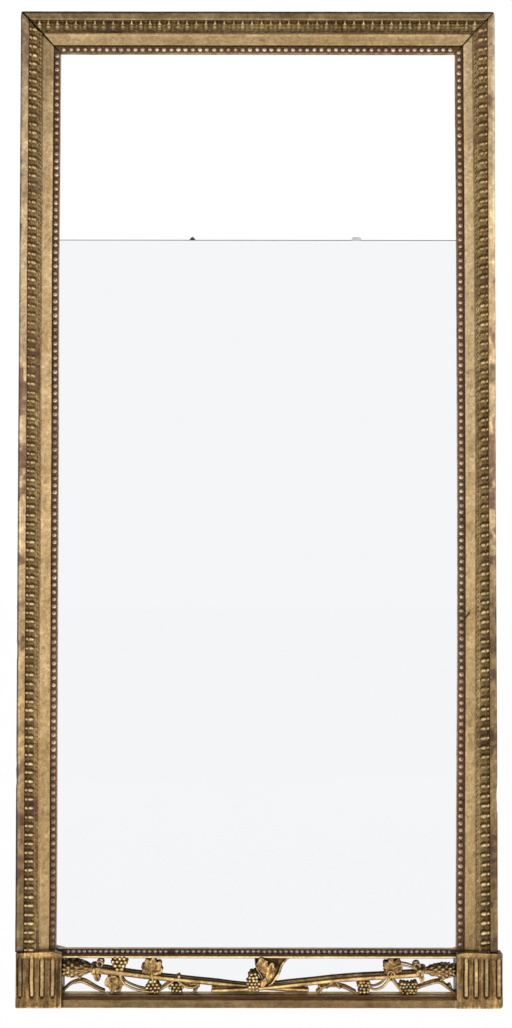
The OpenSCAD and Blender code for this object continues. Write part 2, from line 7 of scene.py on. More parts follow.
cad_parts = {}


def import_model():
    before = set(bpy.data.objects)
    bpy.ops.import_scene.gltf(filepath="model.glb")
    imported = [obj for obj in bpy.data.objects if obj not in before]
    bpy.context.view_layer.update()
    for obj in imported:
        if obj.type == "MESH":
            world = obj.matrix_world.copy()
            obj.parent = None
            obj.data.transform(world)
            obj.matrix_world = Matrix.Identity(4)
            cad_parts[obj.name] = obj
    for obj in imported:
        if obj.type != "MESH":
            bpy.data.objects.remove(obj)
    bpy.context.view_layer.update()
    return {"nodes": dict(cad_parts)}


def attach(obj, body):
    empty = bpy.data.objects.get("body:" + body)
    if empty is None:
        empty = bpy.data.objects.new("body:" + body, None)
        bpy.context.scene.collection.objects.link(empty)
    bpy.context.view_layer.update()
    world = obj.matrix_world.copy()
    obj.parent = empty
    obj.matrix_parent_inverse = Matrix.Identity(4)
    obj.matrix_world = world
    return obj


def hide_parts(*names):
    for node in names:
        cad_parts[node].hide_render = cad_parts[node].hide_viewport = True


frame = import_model()

BODY = "mirror"
# Millimetres: x across, h away from the wall, z above the base
W2, OH, ZH, FW = 431.5, 1800.0, 1790.0, 71.5
BL0, BL1, BR0, BR1, BLK = -429.5, -347.0, 358.0, 440.5, 98.0
XI = W2 - FW


# ---------------------------------------------------------------- numbers

def _hash(ix, iy, iz, seed):
    h = (ix * 374761393 + iy * 668265263 + iz * 2147483629 + seed * 974634777) & 0xFFFFFFFF
    h = ((h ^ (h >> 13)) * 1274126177) & 0xFFFFFFFF
    h = ((h ^ (h >> 15)) * 2246822519) & 0xFFFFFFFF
    return ((h ^ (h >> 16)) & 0xFFFF) / 32767.5 - 1.0


def noise(P, scale, seed=0):
    """Smooth value noise, about -1 to 1. P has shape (..., 3), in millimetres."""
    q = np.asarray(P, float) / scale
    i = np.floor(q).astype(np.int64)
    f = q - i
    f = f * f * (3 - 2 * f)
    out = 0.0
    for a in (0, 1):
        wa = f[..., 0] if a else 1 - f[..., 0]
        for b in (0, 1):
            wb = f[..., 1] if b else 1 - f[..., 1]
            for c in (0, 1):
                wc = f[..., 2] if c else 1 - f[..., 2]
                out = out + wa * wb * wc * _hash(i[..., 0] + a, i[..., 1] + b, i[..., 2] + c, seed)
    return out


def fbm(P, scale, seed=0, octaves=3):
    out, amp = 0.0, 1.0
    for k in range(octaves):
        out = out + amp * noise(P, scale / 2 ** k, seed + 17 * k)
        amp *= 0.5
    return out / 1.6


def sstep(a, b, x):
    t = np.clip((x - a) / (b - a), 0, 1)
    return t * t * (3 - 2 * t)


def bump(x, c, w):
    return np.exp(-((x - c) / w) ** 2)


def catmull(P, n=8):
    """A smooth curve through the points P, any number of columns."""
    P = np.asarray(P, float)
    out = []
    for i in range(len(P) - 1):
        a, b, c, d = P[max(i - 1, 0)], P[i], P[i + 1], P[min(i + 2, len(P) - 1)]
        for k in range(n):
            t = k / n
            out.append(0.5 * (2 * b + (c - a) * t + (2 * a - 5 * b + 4 * c - d) * t * t + (3 * b - a - 3 * c + d) * t ** 3))
    out.append(P[-1])
    return np.array(out)


# ---------------------------------------------------------------- meshes

def world(P):
    """Millimetres (x, h, z above the base) to millimetres of the row frame."""
    P = np.asarray(P, float)
    return np.stack([P[..., 0], -P[..., 1], P[..., 2] - ZH], -1)


class Geo:
    """Closed shells gathered into one mesh, in millimetres of the row frame."""

    def __init__(self):
        self.V, self.F, self.n = [], [], 0

    def add(self, P, quads=(), tris=(), ngons=(), in_world=False):
        V = np.asarray(P, float) if in_world else world(P)
        V = V.reshape(-1, 3)
        Q = np.asarray(quads, int).reshape(-1, 4)
        T = np.asarray(tris, int).reshape(-1, 3)
        tri = [T] if len(T) else []
        if len(Q):
            tri += [Q[:, [0, 1, 2]], Q[:, [0, 2, 3]]]
        for g in ngons:
            g = np.asarray(g, int)
            tri.append(np.stack([np.full(len(g) - 2, g[0]), g[1:-1], g[2:]], 1))
        tri = np.concatenate(tri)
        c = V.mean(0)
        a, b, d = V[tri[:, 0]] - c, V[tri[:, 1]] - c, V[tri[:, 2]] - c
        flip = np.einsum("ij,ij->i", a, np.cross(b, d)).sum() < 0
        if flip:
            Q, T = Q[:, ::-1], T[:, ::-1]
            ngons = [list(g)[::-1] for g in ngons]
        self.V.append(V)
        self.F += (Q + self.n).tolist() + (T + self.n).tolist() + [[int(i) + self.n for i in g] for g in ngons]
        self.n += len(V)
        return self

    def verts(self):
        return np.concatenate(self.V)


def loft_faces(n, m):
    """Quads of a closed loop of n points, lofted over m rows, with vertex index row * n + i."""
    i = np.arange(n)
    q = []
    for r in range(m - 1):
        a, b = r * n + i, r * n + (i + 1) % n
        q.append(np.stack([a, b, b + n, a + n], 1))
    return np.concatenate(q)


def tube(geo, path, radius, sides=14, flat=1.0, ripple=0.0, seed=0, cap=0.7):
    """A round-ended tube along points (x, h, z). radius is a number or one for each point. flat squeezes it off the wall."""
    P = np.asarray(path, float)
    R = np.broadcast_to(np.asarray(radius, float), (len(P),)).copy()
    T = np.gradient(P, axis=0)
    T /= np.linalg.norm(T, axis=1)[:, None] + 1e-9
    # rounded ends
    def end(p, t, r, sign):
        k = np.array([0.25, 0.55, 0.8, 0.95])
        return p + sign * t * (np.sqrt(1 - k[::-1] ** 2)[:, None] * r * cap), r * k[::-1]
    pa, ra = end(P[0], T[0], R[0], -1)
    pb, rb = end(P[-1], T[-1], R[-1], 1)
    P = np.concatenate([pa[::-1], P, pb])
    R = np.concatenate([ra[::-1], R, rb])
    T = np.concatenate([np.repeat(T[:1], 4, 0), T, np.repeat(T[-1:], 4, 0)])
    up = np.array([0.0, 1.0, 0.0])
    A = np.cross(T, up)
    A /= np.linalg.norm(A, axis=1)[:, None] + 1e-9
    B = np.cross(A, T)
    th = np.arange(sides) / sides * 2 * math.pi
    rr = R[:, None]
    if ripple:
        s = np.arange(len(P))
        rr = rr * (1 + ripple * noise(np.stack(np.broadcast_arrays(P[:, 0][:, None], th[None] * 9, P[:, 2][:, None]), -1), 6.0, seed))
    V = P[:, None] + A[:, None] * (rr * np.cos(th))[..., None] + B[:, None] * (rr * flat * np.sin(th))[..., None]
    n, m = sides, len(P)
    geo.add(V.reshape(-1, 3), loft_faces(n, m), ngons=[list(range(n)), list(range((m - 1) * n, m * n))])


def ball(geo, c, r, squash=(1, 1, 1), seg=14, rings=10):
    """An ellipsoid at c, with r times squash as its three radii."""
    th = np.arange(seg) / seg * 2 * math.pi
    ph = np.arange(1, rings) / rings * math.pi
    V = np.stack([np.sin(ph)[:, None] * np.cos(th), -np.cos(ph)[:, None] * np.ones(seg), np.sin(ph)[:, None] * np.sin(th)], -1)
    V = V.reshape(-1, 3)
    V = np.concatenate([V, [[0, -1, 0], [0, 1, 0]]]) * np.array(squash) * r + np.array(c)
    m = rings - 1
    i = np.arange(seg)
    j = (i + 1) % seg
    T = np.concatenate([np.stack([i, j, np.full(seg, m * seg)], 1),
                        np.stack([(m - 1) * seg + j, (m - 1) * seg + i, np.full(seg, m * seg + 1)], 1)])
    geo.add(V, loft_faces(seg, m), T)


def petal(geo, base, tip, width, thick, crown=1.5, groove=0.8, teeth=0, depth=0.12, bulge=0.45, lift=0.0, bend=0.0, seed=0):
    """A carved lobe from base to tip, both (x, h, z): widest at bulge of its length, with a vein cut down its middle and a toothed rim."""
    a, b = np.asarray(base, float), np.asarray(tip, float)
    L = np.linalg.norm(b - a)
    t = (b - a) / L
    side = np.array([-t[2], 0, t[0]])
    side /= np.linalg.norm(side) + 1e-9
    nrm = np.cross(side, t)
    nrm = nrm * np.sign(nrm[1] + 1e-9)
    m, n = 20, 22
    s = np.linspace(0.0, 1, m)
    e = math.log(0.5) / math.log(bulge)
    w = width / 2 * np.sin(math.pi * np.clip(s, 0.02, 0.985) ** e) ** 0.62
    if teeth:
        w = w * (1 - depth + depth * 2 * np.abs(((s * teeth + 0.25) % 1) - 0.5) * 1.6)
    th = np.arange(n) / n * 2 * math.pi
    c, q = np.cos(th), np.sin(th)
    across = w[:, None] * c
    top = (q > 0)
    prof = np.abs(q) ** 0.75
    hgt = np.where(top, crown * prof, -thick * prof) * np.minimum(1, (w / (0.3 * width / 2 + 1e-9)))[:, None] ** 0.6
    hgt = hgt - np.where(top, groove * np.exp(-(c / 0.16) ** 2) * np.sin(math.pi * s)[:, None] ** 0.5, 0)
    if groove:
        veins = np.cos((s[:, None] * 4.2 + np.abs(c) * 0.9) * 2 * math.pi)
        hgt = hgt + np.where(top, 0.22 * groove * veins * np.abs(c), 0)
    mid = a + (b - a) * s[:, None] + nrm * (lift * np.sin(math.pi * s))[:, None] + side * (bend * np.sin(math.pi * s))[:, None]
    V = mid[:, None] + side * across[..., None] + nrm * hgt[..., None]
    geo.add(V.reshape(-1, 3), loft_faces(n, m), ngons=[list(range(n)), list(range((m - 1) * n, m * n))])


def relax(X, E, n, lam=0.5):
    """Moves each point n times towards the mean of its neighbours."""
    nv = len(X)
    X = X.copy()
    deg = np.maximum(np.bincount(E.ravel(), minlength=nv), 1)[:, None]
    for _ in range(n):
        S = np.stack([np.bincount(E[:, 0], X[E[:, 1], k], nv) + np.bincount(E[:, 1], X[E[:, 0], k], nv)
                      for k in range(X.shape[1])], 1)
        X += lam * (S / deg - X)
    return X


def mesh_arrays(me):
    V = np.empty(len(me.vertices) * 3)
    me.vertices.foreach_get("co", V)
    E = np.empty(len(me.edges) * 2, np.int64)
    me.edges.foreach_get("vertices", E)
    return V.reshape(-1, 3), E.reshape(-1, 2)


def new_mesh(name, geo):
    me = bpy.data.meshes.new(name)
    me.from_pydata((geo.verts() / 1000).tolist(), [], geo.F)
    me.validate()
    me.update()
    return me


def carve(name, geo, voxel, soften=1, chisel=0.12, chisel_scale=5.0, seed=0, box=None):
    """Joins overlapping shells into one closed carved surface, softened and lightly tooled."""
    me = new_mesh(name, geo)
    ob = bpy.data.objects.new(name + "_tmp", me)
    bpy.context.scene.collection.objects.link(ob)
    m = ob.modifiers.new("join", "REMESH")
    m.mode = "VOXEL"
    m.voxel_size = voxel / 1000
    m.adaptivity = 0
    dg = bpy.context.evaluated_depsgraph_get()
    out = bpy.data.meshes.new_from_object(ob.evaluated_get(dg), depsgraph=dg)
    bpy.data.objects.remove(ob)
    bpy.data.meshes.remove(me)
    out.name = name
    V, E = mesh_arrays(out)
    V = V * 1000
    V = relax(V, E, soften, 0.5)
    out.vertices.foreach_set("co", (V / 1000).ravel())
    out.update()
    if chisel:
        N = np.empty(len(V) * 3)
        out.vertex_normals.foreach_get("vector", N)
        V = V + N.reshape(-1, 3) * (chisel * fbm(V, chisel_scale, seed, 2))[:, None]
    if box is not None:
        V = np.clip(V, box[0], box[1])
    out.vertices.foreach_set("co", (V / 1000).ravel())
    out.update()
    return out


def dress(name, me, mat, nodes=(), scale_mm=3.0, amp=0.8, sharp=50, body=BODY, tone=None, bole=None, cav=None, wear=None):
    """Makes the piece: smooth shading, and attributes that say where it is hollow (darkened as grime and painted
    shade), rubbed, toned (the tone also carries painted light and shade) or worn down to the bole.
    """
    V, E = mesh_arrays(me)
    V = V * 1000
    N = np.empty(len(V) * 3)
    me.vertex_normals.foreach_get("vector", N)
    N = N.reshape(-1, 3)
    el = np.linalg.norm(V[E[:, 0]] - V[E[:, 1]], axis=1)
    edge = float(np.median(el)) if len(el) else 1.0
    it = int(np.clip(2.0 * (scale_mm / edge) ** 2, 2, 60))
    # hollows found from the curvature, which the materials darken as dirt and painted shade; convex places count as
    # rubbed
    d = np.einsum("ij,ij->i", relax(V, E, it) - V, N)
    c = np.clip(d / amp, 0, 1)
    w = np.clip(-d / amp, 0, 1)
    if cav is not None:
        c = np.clip(np.maximum(c, cav(V, N) if callable(cav) else cav), 0, 1)
    if wear is not None:
        w = np.clip(w + (wear(V, N) if callable(wear) else wear), 0, 1)
    values = {"cav": c, "wear": w,
              "tone": tone(V, N) if tone is not None else np.zeros(len(V)),
              "bole": bole(V, N) if bole is not None else np.zeros(len(V))}
    for k, v in values.items():
        at = me.attributes.new(k, "FLOAT", "POINT")
        at.data.foreach_set("value", np.asarray(v, np.float32))
    me.shade_smooth()
    if sharp:
        me.set_sharp_from_angle(angle=math.radians(sharp))
    ob = bpy.data.objects.new(name, me)
    bpy.context.scene.collection.objects.link(ob)
    me.materials.clear()
    me.materials.append(mat)
    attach(ob, body)
    if nodes:
        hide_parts(*nodes)
    return ob


# ---------------------------------------------------------------- materials

class Mat:
    """A small helper for node materials."""

    def __init__(self, name):
        self.m = bpy.data.materials.new(name)
        self.m.use_nodes = True
        self.t = self.m.node_tree
        self.t.nodes.clear()
        self.out = self.t.nodes.new("ShaderNodeOutputMaterial")
        self.b = self.t.nodes.new("ShaderNodeBsdfPrincipled")
        self.t.links.new(self.b.outputs[0], self.out.inputs[0])
        self.pos = self.t.nodes.new("ShaderNodeTexCoord").outputs["Object"]

    def put(self, socket, value):
        if isinstance(value, bpy.types.NodeSocket):
            self.t.links.new(value, socket)
        elif value is not None:
            if hasattr(value, "__len__") and len(value) == 3 and socket.type == "RGBA":
                value = (*value, 1)
            socket.default_value = value

    def math(self, op, a, b=None, c=None, clamp=False):
        n = self.t.nodes.new("ShaderNodeMath")
        n.operation = op
        n.use_clamp = clamp
        for k, v in enumerate((a, b, c)):
            if v is not None:
                self.put(n.inputs[k], v)
        return n.outputs[0]

    def mix(self, f, a, b, blend="MIX"):
        n = self.t.nodes.new("ShaderNodeMix")
        n.data_type = "RGBA"
        n.blend_type = blend
        n.clamp_factor = True
        self.put(n.inputs[0], f)
        self.put(n.inputs[6], a)
        self.put(n.inputs[7], b)
        return n.outputs[2]

    def fmix(self, f, a, b):
        n = self.t.nodes.new("ShaderNodeMix")
        n.data_type = "FLOAT"
        self.put(n.inputs[0], f)
        self.put(n.inputs[2], a)
        self.put(n.inputs[3], b)
        return n.outputs[0]

    def scaled(self, s, loc=(0, 0, 0)):
        n = self.t.nodes.new("ShaderNodeMapping")
        self.put(n.inputs["Vector"], self.pos)
        n.inputs["Scale"].default_value = s
        n.inputs["Location"].default_value = loc
        return n.outputs[0]

    def noise(self, scale, detail=3, rough=0.55, vec=None, dist=0.0):
        n = self.t.nodes.new("ShaderNodeTexNoise")
        self.put(n.inputs["Vector"], vec or self.pos)
        n.inputs["Scale"].default_value = scale
        n.inputs["Detail"].default_value = detail
        n.inputs["Roughness"].default_value = rough
        n.inputs["Distortion"].default_value = dist
        return n.outputs["Fac"]

    def cells(self, scale, vec=None, feature="F1"):
        n = self.t.nodes.new("ShaderNodeTexVoronoi")
        n.feature = feature
        self.put(n.inputs["Vector"], vec or self.pos)
        n.inputs["Scale"].default_value = scale
        return n.outputs["Distance"]

    def span(self, v, a, b, lo=0.0, hi=1.0, smooth=True):
        n = self.t.nodes.new("ShaderNodeMapRange")
        n.interpolation_type = "SMOOTHSTEP" if smooth else "LINEAR"
        n.clamp = True
        self.put(n.inputs["Value"], v)
        for k, x in zip(("From Min", "From Max", "To Min", "To Max"), (a, b, lo, hi)):
            n.inputs[k].default_value = x
        return n.outputs["Result"]

    def attr(self, name):
        n = self.t.nodes.new("ShaderNodeAttribute")
        n.attribute_name = name
        return n.outputs["Fac"]

    def bump(self, h, strength, dist, normal=None):
        n = self.t.nodes.new("ShaderNodeBump")
        n.inputs["Strength"].default_value = strength
        n.inputs["Distance"].default_value = dist
        self.put(n.inputs["Height"], h)
        if normal is not None:
            self.put(n.inputs["Normal"], normal)
        return n.outputs[0]

    def finish(self, colour, rough, metal=0.0, normal=None, spec=0.5):
        self.put(self.b.inputs["Base Color"], colour)
        self.put(self.b.inputs["Roughness"], rough)
        self.put(self.b.inputs["Metallic"], metal)
        self.b.inputs["Specular IOR Level"].default_value = spec
        if normal is not None:
            self.put(self.b.inputs["Normal"], normal)
        return self.m


def gilt(name, gold=(0.60, 0.41, 0.19), deep=(0.42, 0.26, 0.105), pale=(0.74, 0.56, 0.33), bole=(0.17, 0.075, 0.055),
         dirt_and_shade=(0.085, 0.048, 0.022), along="z", rough=0.36, dirt_and_shade_gain=1.0, patch=0.5, rub=0.6, grime=0.35, mottle=1.0, seed=0.0):
    """Old water gilding: leaf in two tones, rubbed pale on the high places, red bole where it has gone, brown grime and
    painted shade in the hollows, and painted light and shade carried by the tone attribute.
    """
    k = Mat(name)
    off = (seed * 1.7, seed * 0.9, seed * 2.3)
    stretch = {"z": (1, 1, 0.12), "x": (0.12, 1, 1), "n": (1, 1, 1)}[along]
    base = k.scaled((1, 1, 1), off)
    run = k.scaled(stretch, off)
    big = k.noise(7, 3, 0.6, base)
    mid = k.noise(42, 4, 0.65, base, 0.4)
    streak = k.noise(120, 4, 0.6, run)
    fine = k.noise(420, 3, 0.7, base)
    speck = k.noise(900, 2, 0.6, base)
    cav, wear, tone, bo = k.attr("cav"), k.attr("wear"), k.attr("tone"), k.attr("bole")
    # leaf tone
    f = k.math("ADD", k.math("MULTIPLY", big, 0.55), k.math("MULTIPLY", streak, 0.45))
    col = k.mix(k.span(f, 0.36, 0.64), deep, gold)
    # rubbed to a paler, warmer ground
    r = k.math("ADD", k.math("MULTIPLY", wear, 1.3), k.math("SUBTRACT", mid, 0.5))
    r = k.span(r, 0.12, 0.75, 0, rub)
    col = k.mix(r, col, pale)
    # bole and old repairs showing
    p = k.math("ADD", k.math("MULTIPLY", mid, 0.6), k.math("MULTIPLY", k.noise(16, 3, 0.6, k.scaled(stretch, (off[0] + 3, 1, 2))), 0.7))
    p = k.math("ADD", p, k.math("MULTIPLY", bo, 0.45))
    p = k.span(p, 0.80 - 0.16 * patch, 1.0 - 0.16 * patch)
    p = k.math("MAXIMUM", p, k.math("MULTIPLY", bo, k.span(fine, 0.35, 0.62, 0.25, 1.0)))
    col = k.mix(k.math("MULTIPLY", p, 0.8), col, bole)
    # fine pits and cracks across the grain
    pit = k.span(speck, 0.62, 0.74)
    line = k.span(k.cells(150, k.scaled({"z": (0.35, 0.35, 1), "x": (1, 0.35, 0.35), "n": (1, 1, 1)}[along], off), "DISTANCE_TO_EDGE"), 0.0, 0.035, 1.0, 0.0)
    small = k.math("MAXIMUM", k.math("MULTIPLY", pit, 0.55), k.math("MULTIPLY", k.math("MULTIPLY", line, k.span(mid, 0.48, 0.62)), 0.45))
    col = k.mix(small, col, tuple(0.35 * a + 0.65 * b for a, b in zip(deep, dirt_and_shade)))
    # grime and painted shade in the hollows, and a film of grime
    d = k.math("ADD", k.math("MULTIPLY", cav, 1.15 * dirt_and_shade_gain), k.math("MULTIPLY", k.math("SUBTRACT", fine, 0.5), 0.5))
    d = k.span(d, 0.06, 0.78)
    film = k.span(k.math("ADD", k.math("MULTIPLY", k.noise(28, 4, 0.7, run), 0.6), k.math("MULTIPLY", fine, 0.4)), 0.42, 0.66, 0, grime)
    col = k.mix(film, col, tuple(0.45 * a + 0.55 * b for a, b in zip(deep, dirt_and_shade)))
    col = k.mix(d, col, dirt_and_shade)
    # light and dark stretches, mottling down to the grain of the gesso, and the painted light and shade that the tone
    # attribute carries
    e = k.math("ADD", k.math("MULTIPLY", k.math("SUBTRACT", mid, 0.5), 1.0 * mottle), k.math("MULTIPLY", k.math("SUBTRACT", fine, 0.5), 1.3 * mottle))
    e = k.math("ADD", e, k.math("MULTIPLY", k.math("SUBTRACT", k.noise(190, 3, 0.6, base), 0.5), 1.6 * mottle))
    col = k.mix(1.0, col, k.math("POWER", 2.0, k.math("ADD", e, tone)), "MULTIPLY")
    metal = k.math("MULTIPLY", k.math("SUBTRACT", 1.0, k.math("MULTIPLY", d, 0.9)), k.math("SUBTRACT", 0.9, k.math("MULTIPLY", p, 0.65)))
    ro = k.math("ADD", k.math("ADD", rough - 0.06, k.math("MULTIPLY", fine, 0.16)), k.math("ADD", k.math("MULTIPLY", d, 0.3), k.math("MULTIPLY", p, 0.2)), clamp=True)
    h = k.math("ADD", k.math("MULTIPLY", fine, 0.5), k.math("MULTIPLY", k.noise(170, 3, 0.6, base), 0.8))
    h = k.math("SUBTRACT", h, k.math("MULTIPLY", small, 0.6))
    n = k.bump(h, 0.55, 0.0007, k.bump(streak, 0.35, 0.0012))
    return k.finish(col, ro, metal, n, 0.18)


def pine(name, light=(0.50, 0.33, 0.175), dark=(0.27, 0.155, 0.075), stain=(0.10, 0.066, 0.042), along="z", seed=0.0, age=0.5):
    """Old sawn pine: long grain with darker summer wood, saw marks, a few knots, and brown staining."""
    k = Mat(name)
    off = (seed * 3.1, seed * 1.3, seed * 5.7)
    st = {"z": (1, 1, 0.045), "x": (0.045, 1, 1)}[along]
    warp = k.noise(5, 2, 0.5, k.scaled((1, 1, 0.3) if along == "z" else (0.3, 1, 1), off))
    v = k.scaled(st, off)
    g = k.noise(52, 2, 0.5, v, 1.2)
    ring = k.math("FRACT", k.math("MULTIPLY", k.math("ADD", g, k.math("MULTIPLY", warp, 0.25)), 9.0))
    ring = k.math("MULTIPLY", k.span(ring, 0.0, 0.75), k.span(ring, 0.78, 1.0, 1.0, 0.0))
    fibre = k.noise(700, 3, 0.7, v)
    kn = k.cells(3.1, k.scaled((1, 1, 0.55) if along == "z" else (0.55, 1, 1), (off[0] + 0.7, 0.4, off[2])))
    knot = k.span(kn, 0.045, 0.085, 1.0, 0.0)
    f = k.math("ADD", k.math("MULTIPLY", ring, 0.6), k.math("MULTIPLY", fibre, 0.4))
    col = k.mix(k.span(f, 0.15, 0.85), light, dark)
    col = k.mix(k.math("MULTIPLY", knot, 0.8), col, tuple(0.5 * c for c in dark))
    big = k.noise(4.5, 5, 0.65, k.scaled((1, 1, 1), off))
    col = k.mix(k.span(big, 0.40, 0.72, 0.0, age), col, stain)
    cross = k.noise(260, 2, 0.5, k.scaled({"z": (0.06, 1, 1), "x": (1, 1, 0.06)}[along], off))
    dots = k.span(k.noise(520, 2, 0.6), 0.66, 0.74)
    col = k.mix(k.math("MULTIPLY", dots, 0.5), col, stain)
    ro = k.math("ADD", 0.62, k.math("MULTIPLY", fibre, 0.25))
    h = k.math("ADD", k.math("MULTIPLY", fibre, 0.5), k.math("ADD", k.math("MULTIPLY", cross, 0.5), k.math("MULTIPLY", ring, 0.35)))
    return k.finish(col, ro, 0.0, k.bump(h, 0.6, 0.0008), 0.3)


def iron(name, base=(0.055, 0.048, 0.044), bright=(0.17, 0.155, 0.145), rust=(0.13, 0.055, 0.025), rough=0.5, rusty=0.6):
    """Forged iron with a dark skin, hammer facets, rubbed places and rust."""
    k = Mat(name)
    a = k.noise(70, 4, 0.65)
    f = k.noise(600, 3, 0.7)
    r = k.noise(26, 5, 0.7, k.scaled((1, 1, 1), (2, 3, 4)))
    col = k.mix(k.span(a, 0.35, 0.7), base, bright)
    rr = k.span(k.math("ADD", k.math("MULTIPLY", r, 0.7), k.math("MULTIPLY", f, 0.3)), 0.5, 0.66, 0, rusty)
    col = k.mix(rr, col, rust)
    metal = k.math("SUBTRACT", 0.9, k.math("MULTIPLY", rr, 1.1), clamp=True)
    ro = k.math("ADD", rough, k.math("MULTIPLY", f, 0.2))
    h = k.math("ADD", k.math("MULTIPLY", k.cells(160), 0.7), k.math("MULTIPLY", f, 0.25))
    return k.finish(col, ro, metal, k.bump(h, 0.5, 0.0006))


def mirror(name, tint, seed=0.0):
    """Silvered plate: a clear reflection, with the faint haze and polishing marks that old glass has."""
    k = Mat(name)
    haze = k.noise(9, 4, 0.6, k.scaled((1, 1, 1), (seed, 0, seed)))
    scratch = k.noise(240, 2, 0.5, k.scaled((1, 1, 0.05), (seed, 1, 0)))
    ro = k.math("ADD", k.span(haze, 0.45, 0.8, 0.006, 0.022), k.span(scratch, 0.66, 0.8, 0.0, 0.01))
    col = k.mix(k.span(haze, 0.35, 0.75), tint, tuple(c * 0.997 for c in tint))
    return k.finish(col, ro, 1.0)


G_FLAT = dict(gold=(0.60, 0.415, 0.205), deep=(0.47, 0.305, 0.135), pale=(0.70, 0.53, 0.32))
m_stile_l = gilt("gilt_left_stile", **G_FLAT, along="z", patch=0.35, rub=0.55, grime=0.30, seed=0.0)
m_stile_r = gilt("gilt_right_stile", **G_FLAT, along="z", patch=0.45, rub=0.55, grime=0.32, seed=1.3)
m_top = gilt("gilt_top_rail", **G_FLAT, along="x", patch=0.45, rub=0.45, grime=0.38, seed=2.1)
m_leaf = gilt("gilt_leaf_moulding", gold=(0.58, 0.40, 0.17), deep=(0.36, 0.22, 0.085), pale=(0.76, 0.58, 0.32), along="n", patch=0.3,
              rub=0.9, grime=0.45, dirt_and_shade_gain=1.25, rough=0.34, seed=3.0)
m_bead = gilt("gilt_beads", gold=(0.36, 0.23, 0.14), deep=(0.20, 0.12, 0.085), pale=(0.62, 0.48, 0.38), bole=(0.13, 0.065, 0.055), along="n",
              patch=0.75, rub=0.85, grime=0.5, dirt_and_shade_gain=1.2, rough=0.38, seed=4.0)
m_block = gilt("gilt_blocks", gold=(0.44, 0.265, 0.098), deep=(0.25, 0.142, 0.056), pale=(0.66, 0.45, 0.21), along="z", patch=0.4, rub=0.95,
               grime=0.55, dirt_and_shade_gain=1.2, seed=5.0)
m_rail = gilt("gilt_lower_rails", gold=(0.40, 0.265, 0.115), deep=(0.25, 0.155, 0.07), pale=(0.60, 0.44, 0.25), along="x", patch=0.55, rub=0.8,
              grime=0.6, dirt_and_shade_gain=1.3, seed=6.0)
m_carve = gilt("gilt_frieze_carving", gold=(0.55, 0.335, 0.115), deep=(0.24, 0.135, 0.055), pale=(0.80, 0.56, 0.25), along="n", patch=0.3, rub=0.95,
               grime=0.5, dirt_and_shade_gain=1.2, rough=0.33, seed=7.0)
m_up = mirror("mirror_upper", (1.0, 1.0, 1.0), 0.0)
m_low = mirror("mirror_lower", (0.913, 0.921, 0.939), 2.0)
m_pine_z = pine("pine_upright", along="z", seed=0.0)
m_pine_x = pine("pine_across", along="x", seed=1.0, light=(0.46, 0.30, 0.155))
m_board = [pine("pine_board_%d" % i, along="z", seed=3.0 + i, light=l, age=0.55) for i, l in
           enumerate([(0.47, 0.31, 0.165), (0.52, 0.345, 0.185), (0.44, 0.285, 0.15)])]
m_board_x = pine("pine_board_frieze", along="x", seed=9.0, age=0.5)
m_pine_s = pine("pine_small", along="z", seed=12.0, light=(0.54, 0.37, 0.20), age=0.3)
m_iron = iron("forged_iron")
m_clip = iron("bright_clip", base=(0.36, 0.345, 0.325), bright=(0.66, 0.65, 0.63), rust=(0.13, 0.085, 0.055), rough=0.34, rusty=0.5)

# ---------------------------------------------------------------- sections of the members


def round_corners(P, R):
    """P is a list of [u, h, fillet radius]; returns a closed loop with its corners rounded."""
    out = []
    n = len(P)
    for i in range(n):
        p, a, b = np.array(P[i][:2], float), np.array(P[i - 1][:2], float), np.array(P[(i + 1) % n][:2], float)
        r = P[i][2] if len(P[i]) > 2 else R
        la, lb = np.linalg.norm(a - p), np.linalg.norm(b - p)
        k = min(r, la * 0.45, lb * 0.45)
        if k < 0.05:
            out.append(p)
            continue
        q0, q1 = p + (a - p) / la * k, p + (b - p) / lb * k
        for t in (0, 0.33, 0.67, 1):
            out.append((1 - t) ** 2 * q0 + 2 * t * (1 - t) * p + t * t * q1)
    return np.array(out)


def resample(P, step):
    """Adds points on a closed loop where two are further apart than step(midpoint)."""
    out = []
    n = len(P)
    for i in range(n):
        a, b = P[i], P[(i + 1) % n]
        d = np.linalg.norm(b - a)
        s = step((a + b) / 2)
        k = max(1, int(math.ceil(d / s)))
        for j in range(k):
            out.append(a + (b - a) * j / k)
    return np.array(out)


def section(be, le, fe):
    """Section of a front member: outer band to be, leaf channel to le, cove to fe, then the bead channel."""
    return [[0, 21.5, 0], [0, 44.2, 0.8], [0.8, 46.0, 0.6], [2.4, 46.5, 1.0], [be - 2.0, 46.5, 0.9], [be - 0.3, 45.6, 0.6], [be, 44, 0.3],
            [be, 35.2, 0.3], [le, 35.2, 0.3], [le + 0.1, 36.3, 0.3], [le + 0.7, 36.9, 0.4], [le + 1.7, 36.8, 0.5], [le + 2.4, 36.0, 0.4], [le + 2.8, 35.3, 0.5],
            [42.5, 34.6, 0.8], [46.5, 33.8, 2], [50, 33.35, 2], [54, 33.25, 1], [fe - 0.9, 33.3, 0.5], [fe, 32.4, 0.4], [fe + 0.1, 27, 0.3],
            [70.5, 27, 0.3], [70.6, 28.2, 0.3], [70.9, 28.6, 0.2], [71.3, 28.5, 0.2], [71.45, 28.0, 0.2], [71.5, 21.5, 0]]


MEMBER = {"left": (15.6, 37.0, 60.0), "right": (14.0, 36.4, 57.6), "top": (16.8, 37.3, 59.2)}
BEAD_U = {"left": 65.3, "right": 64.3, "top": 65.4}

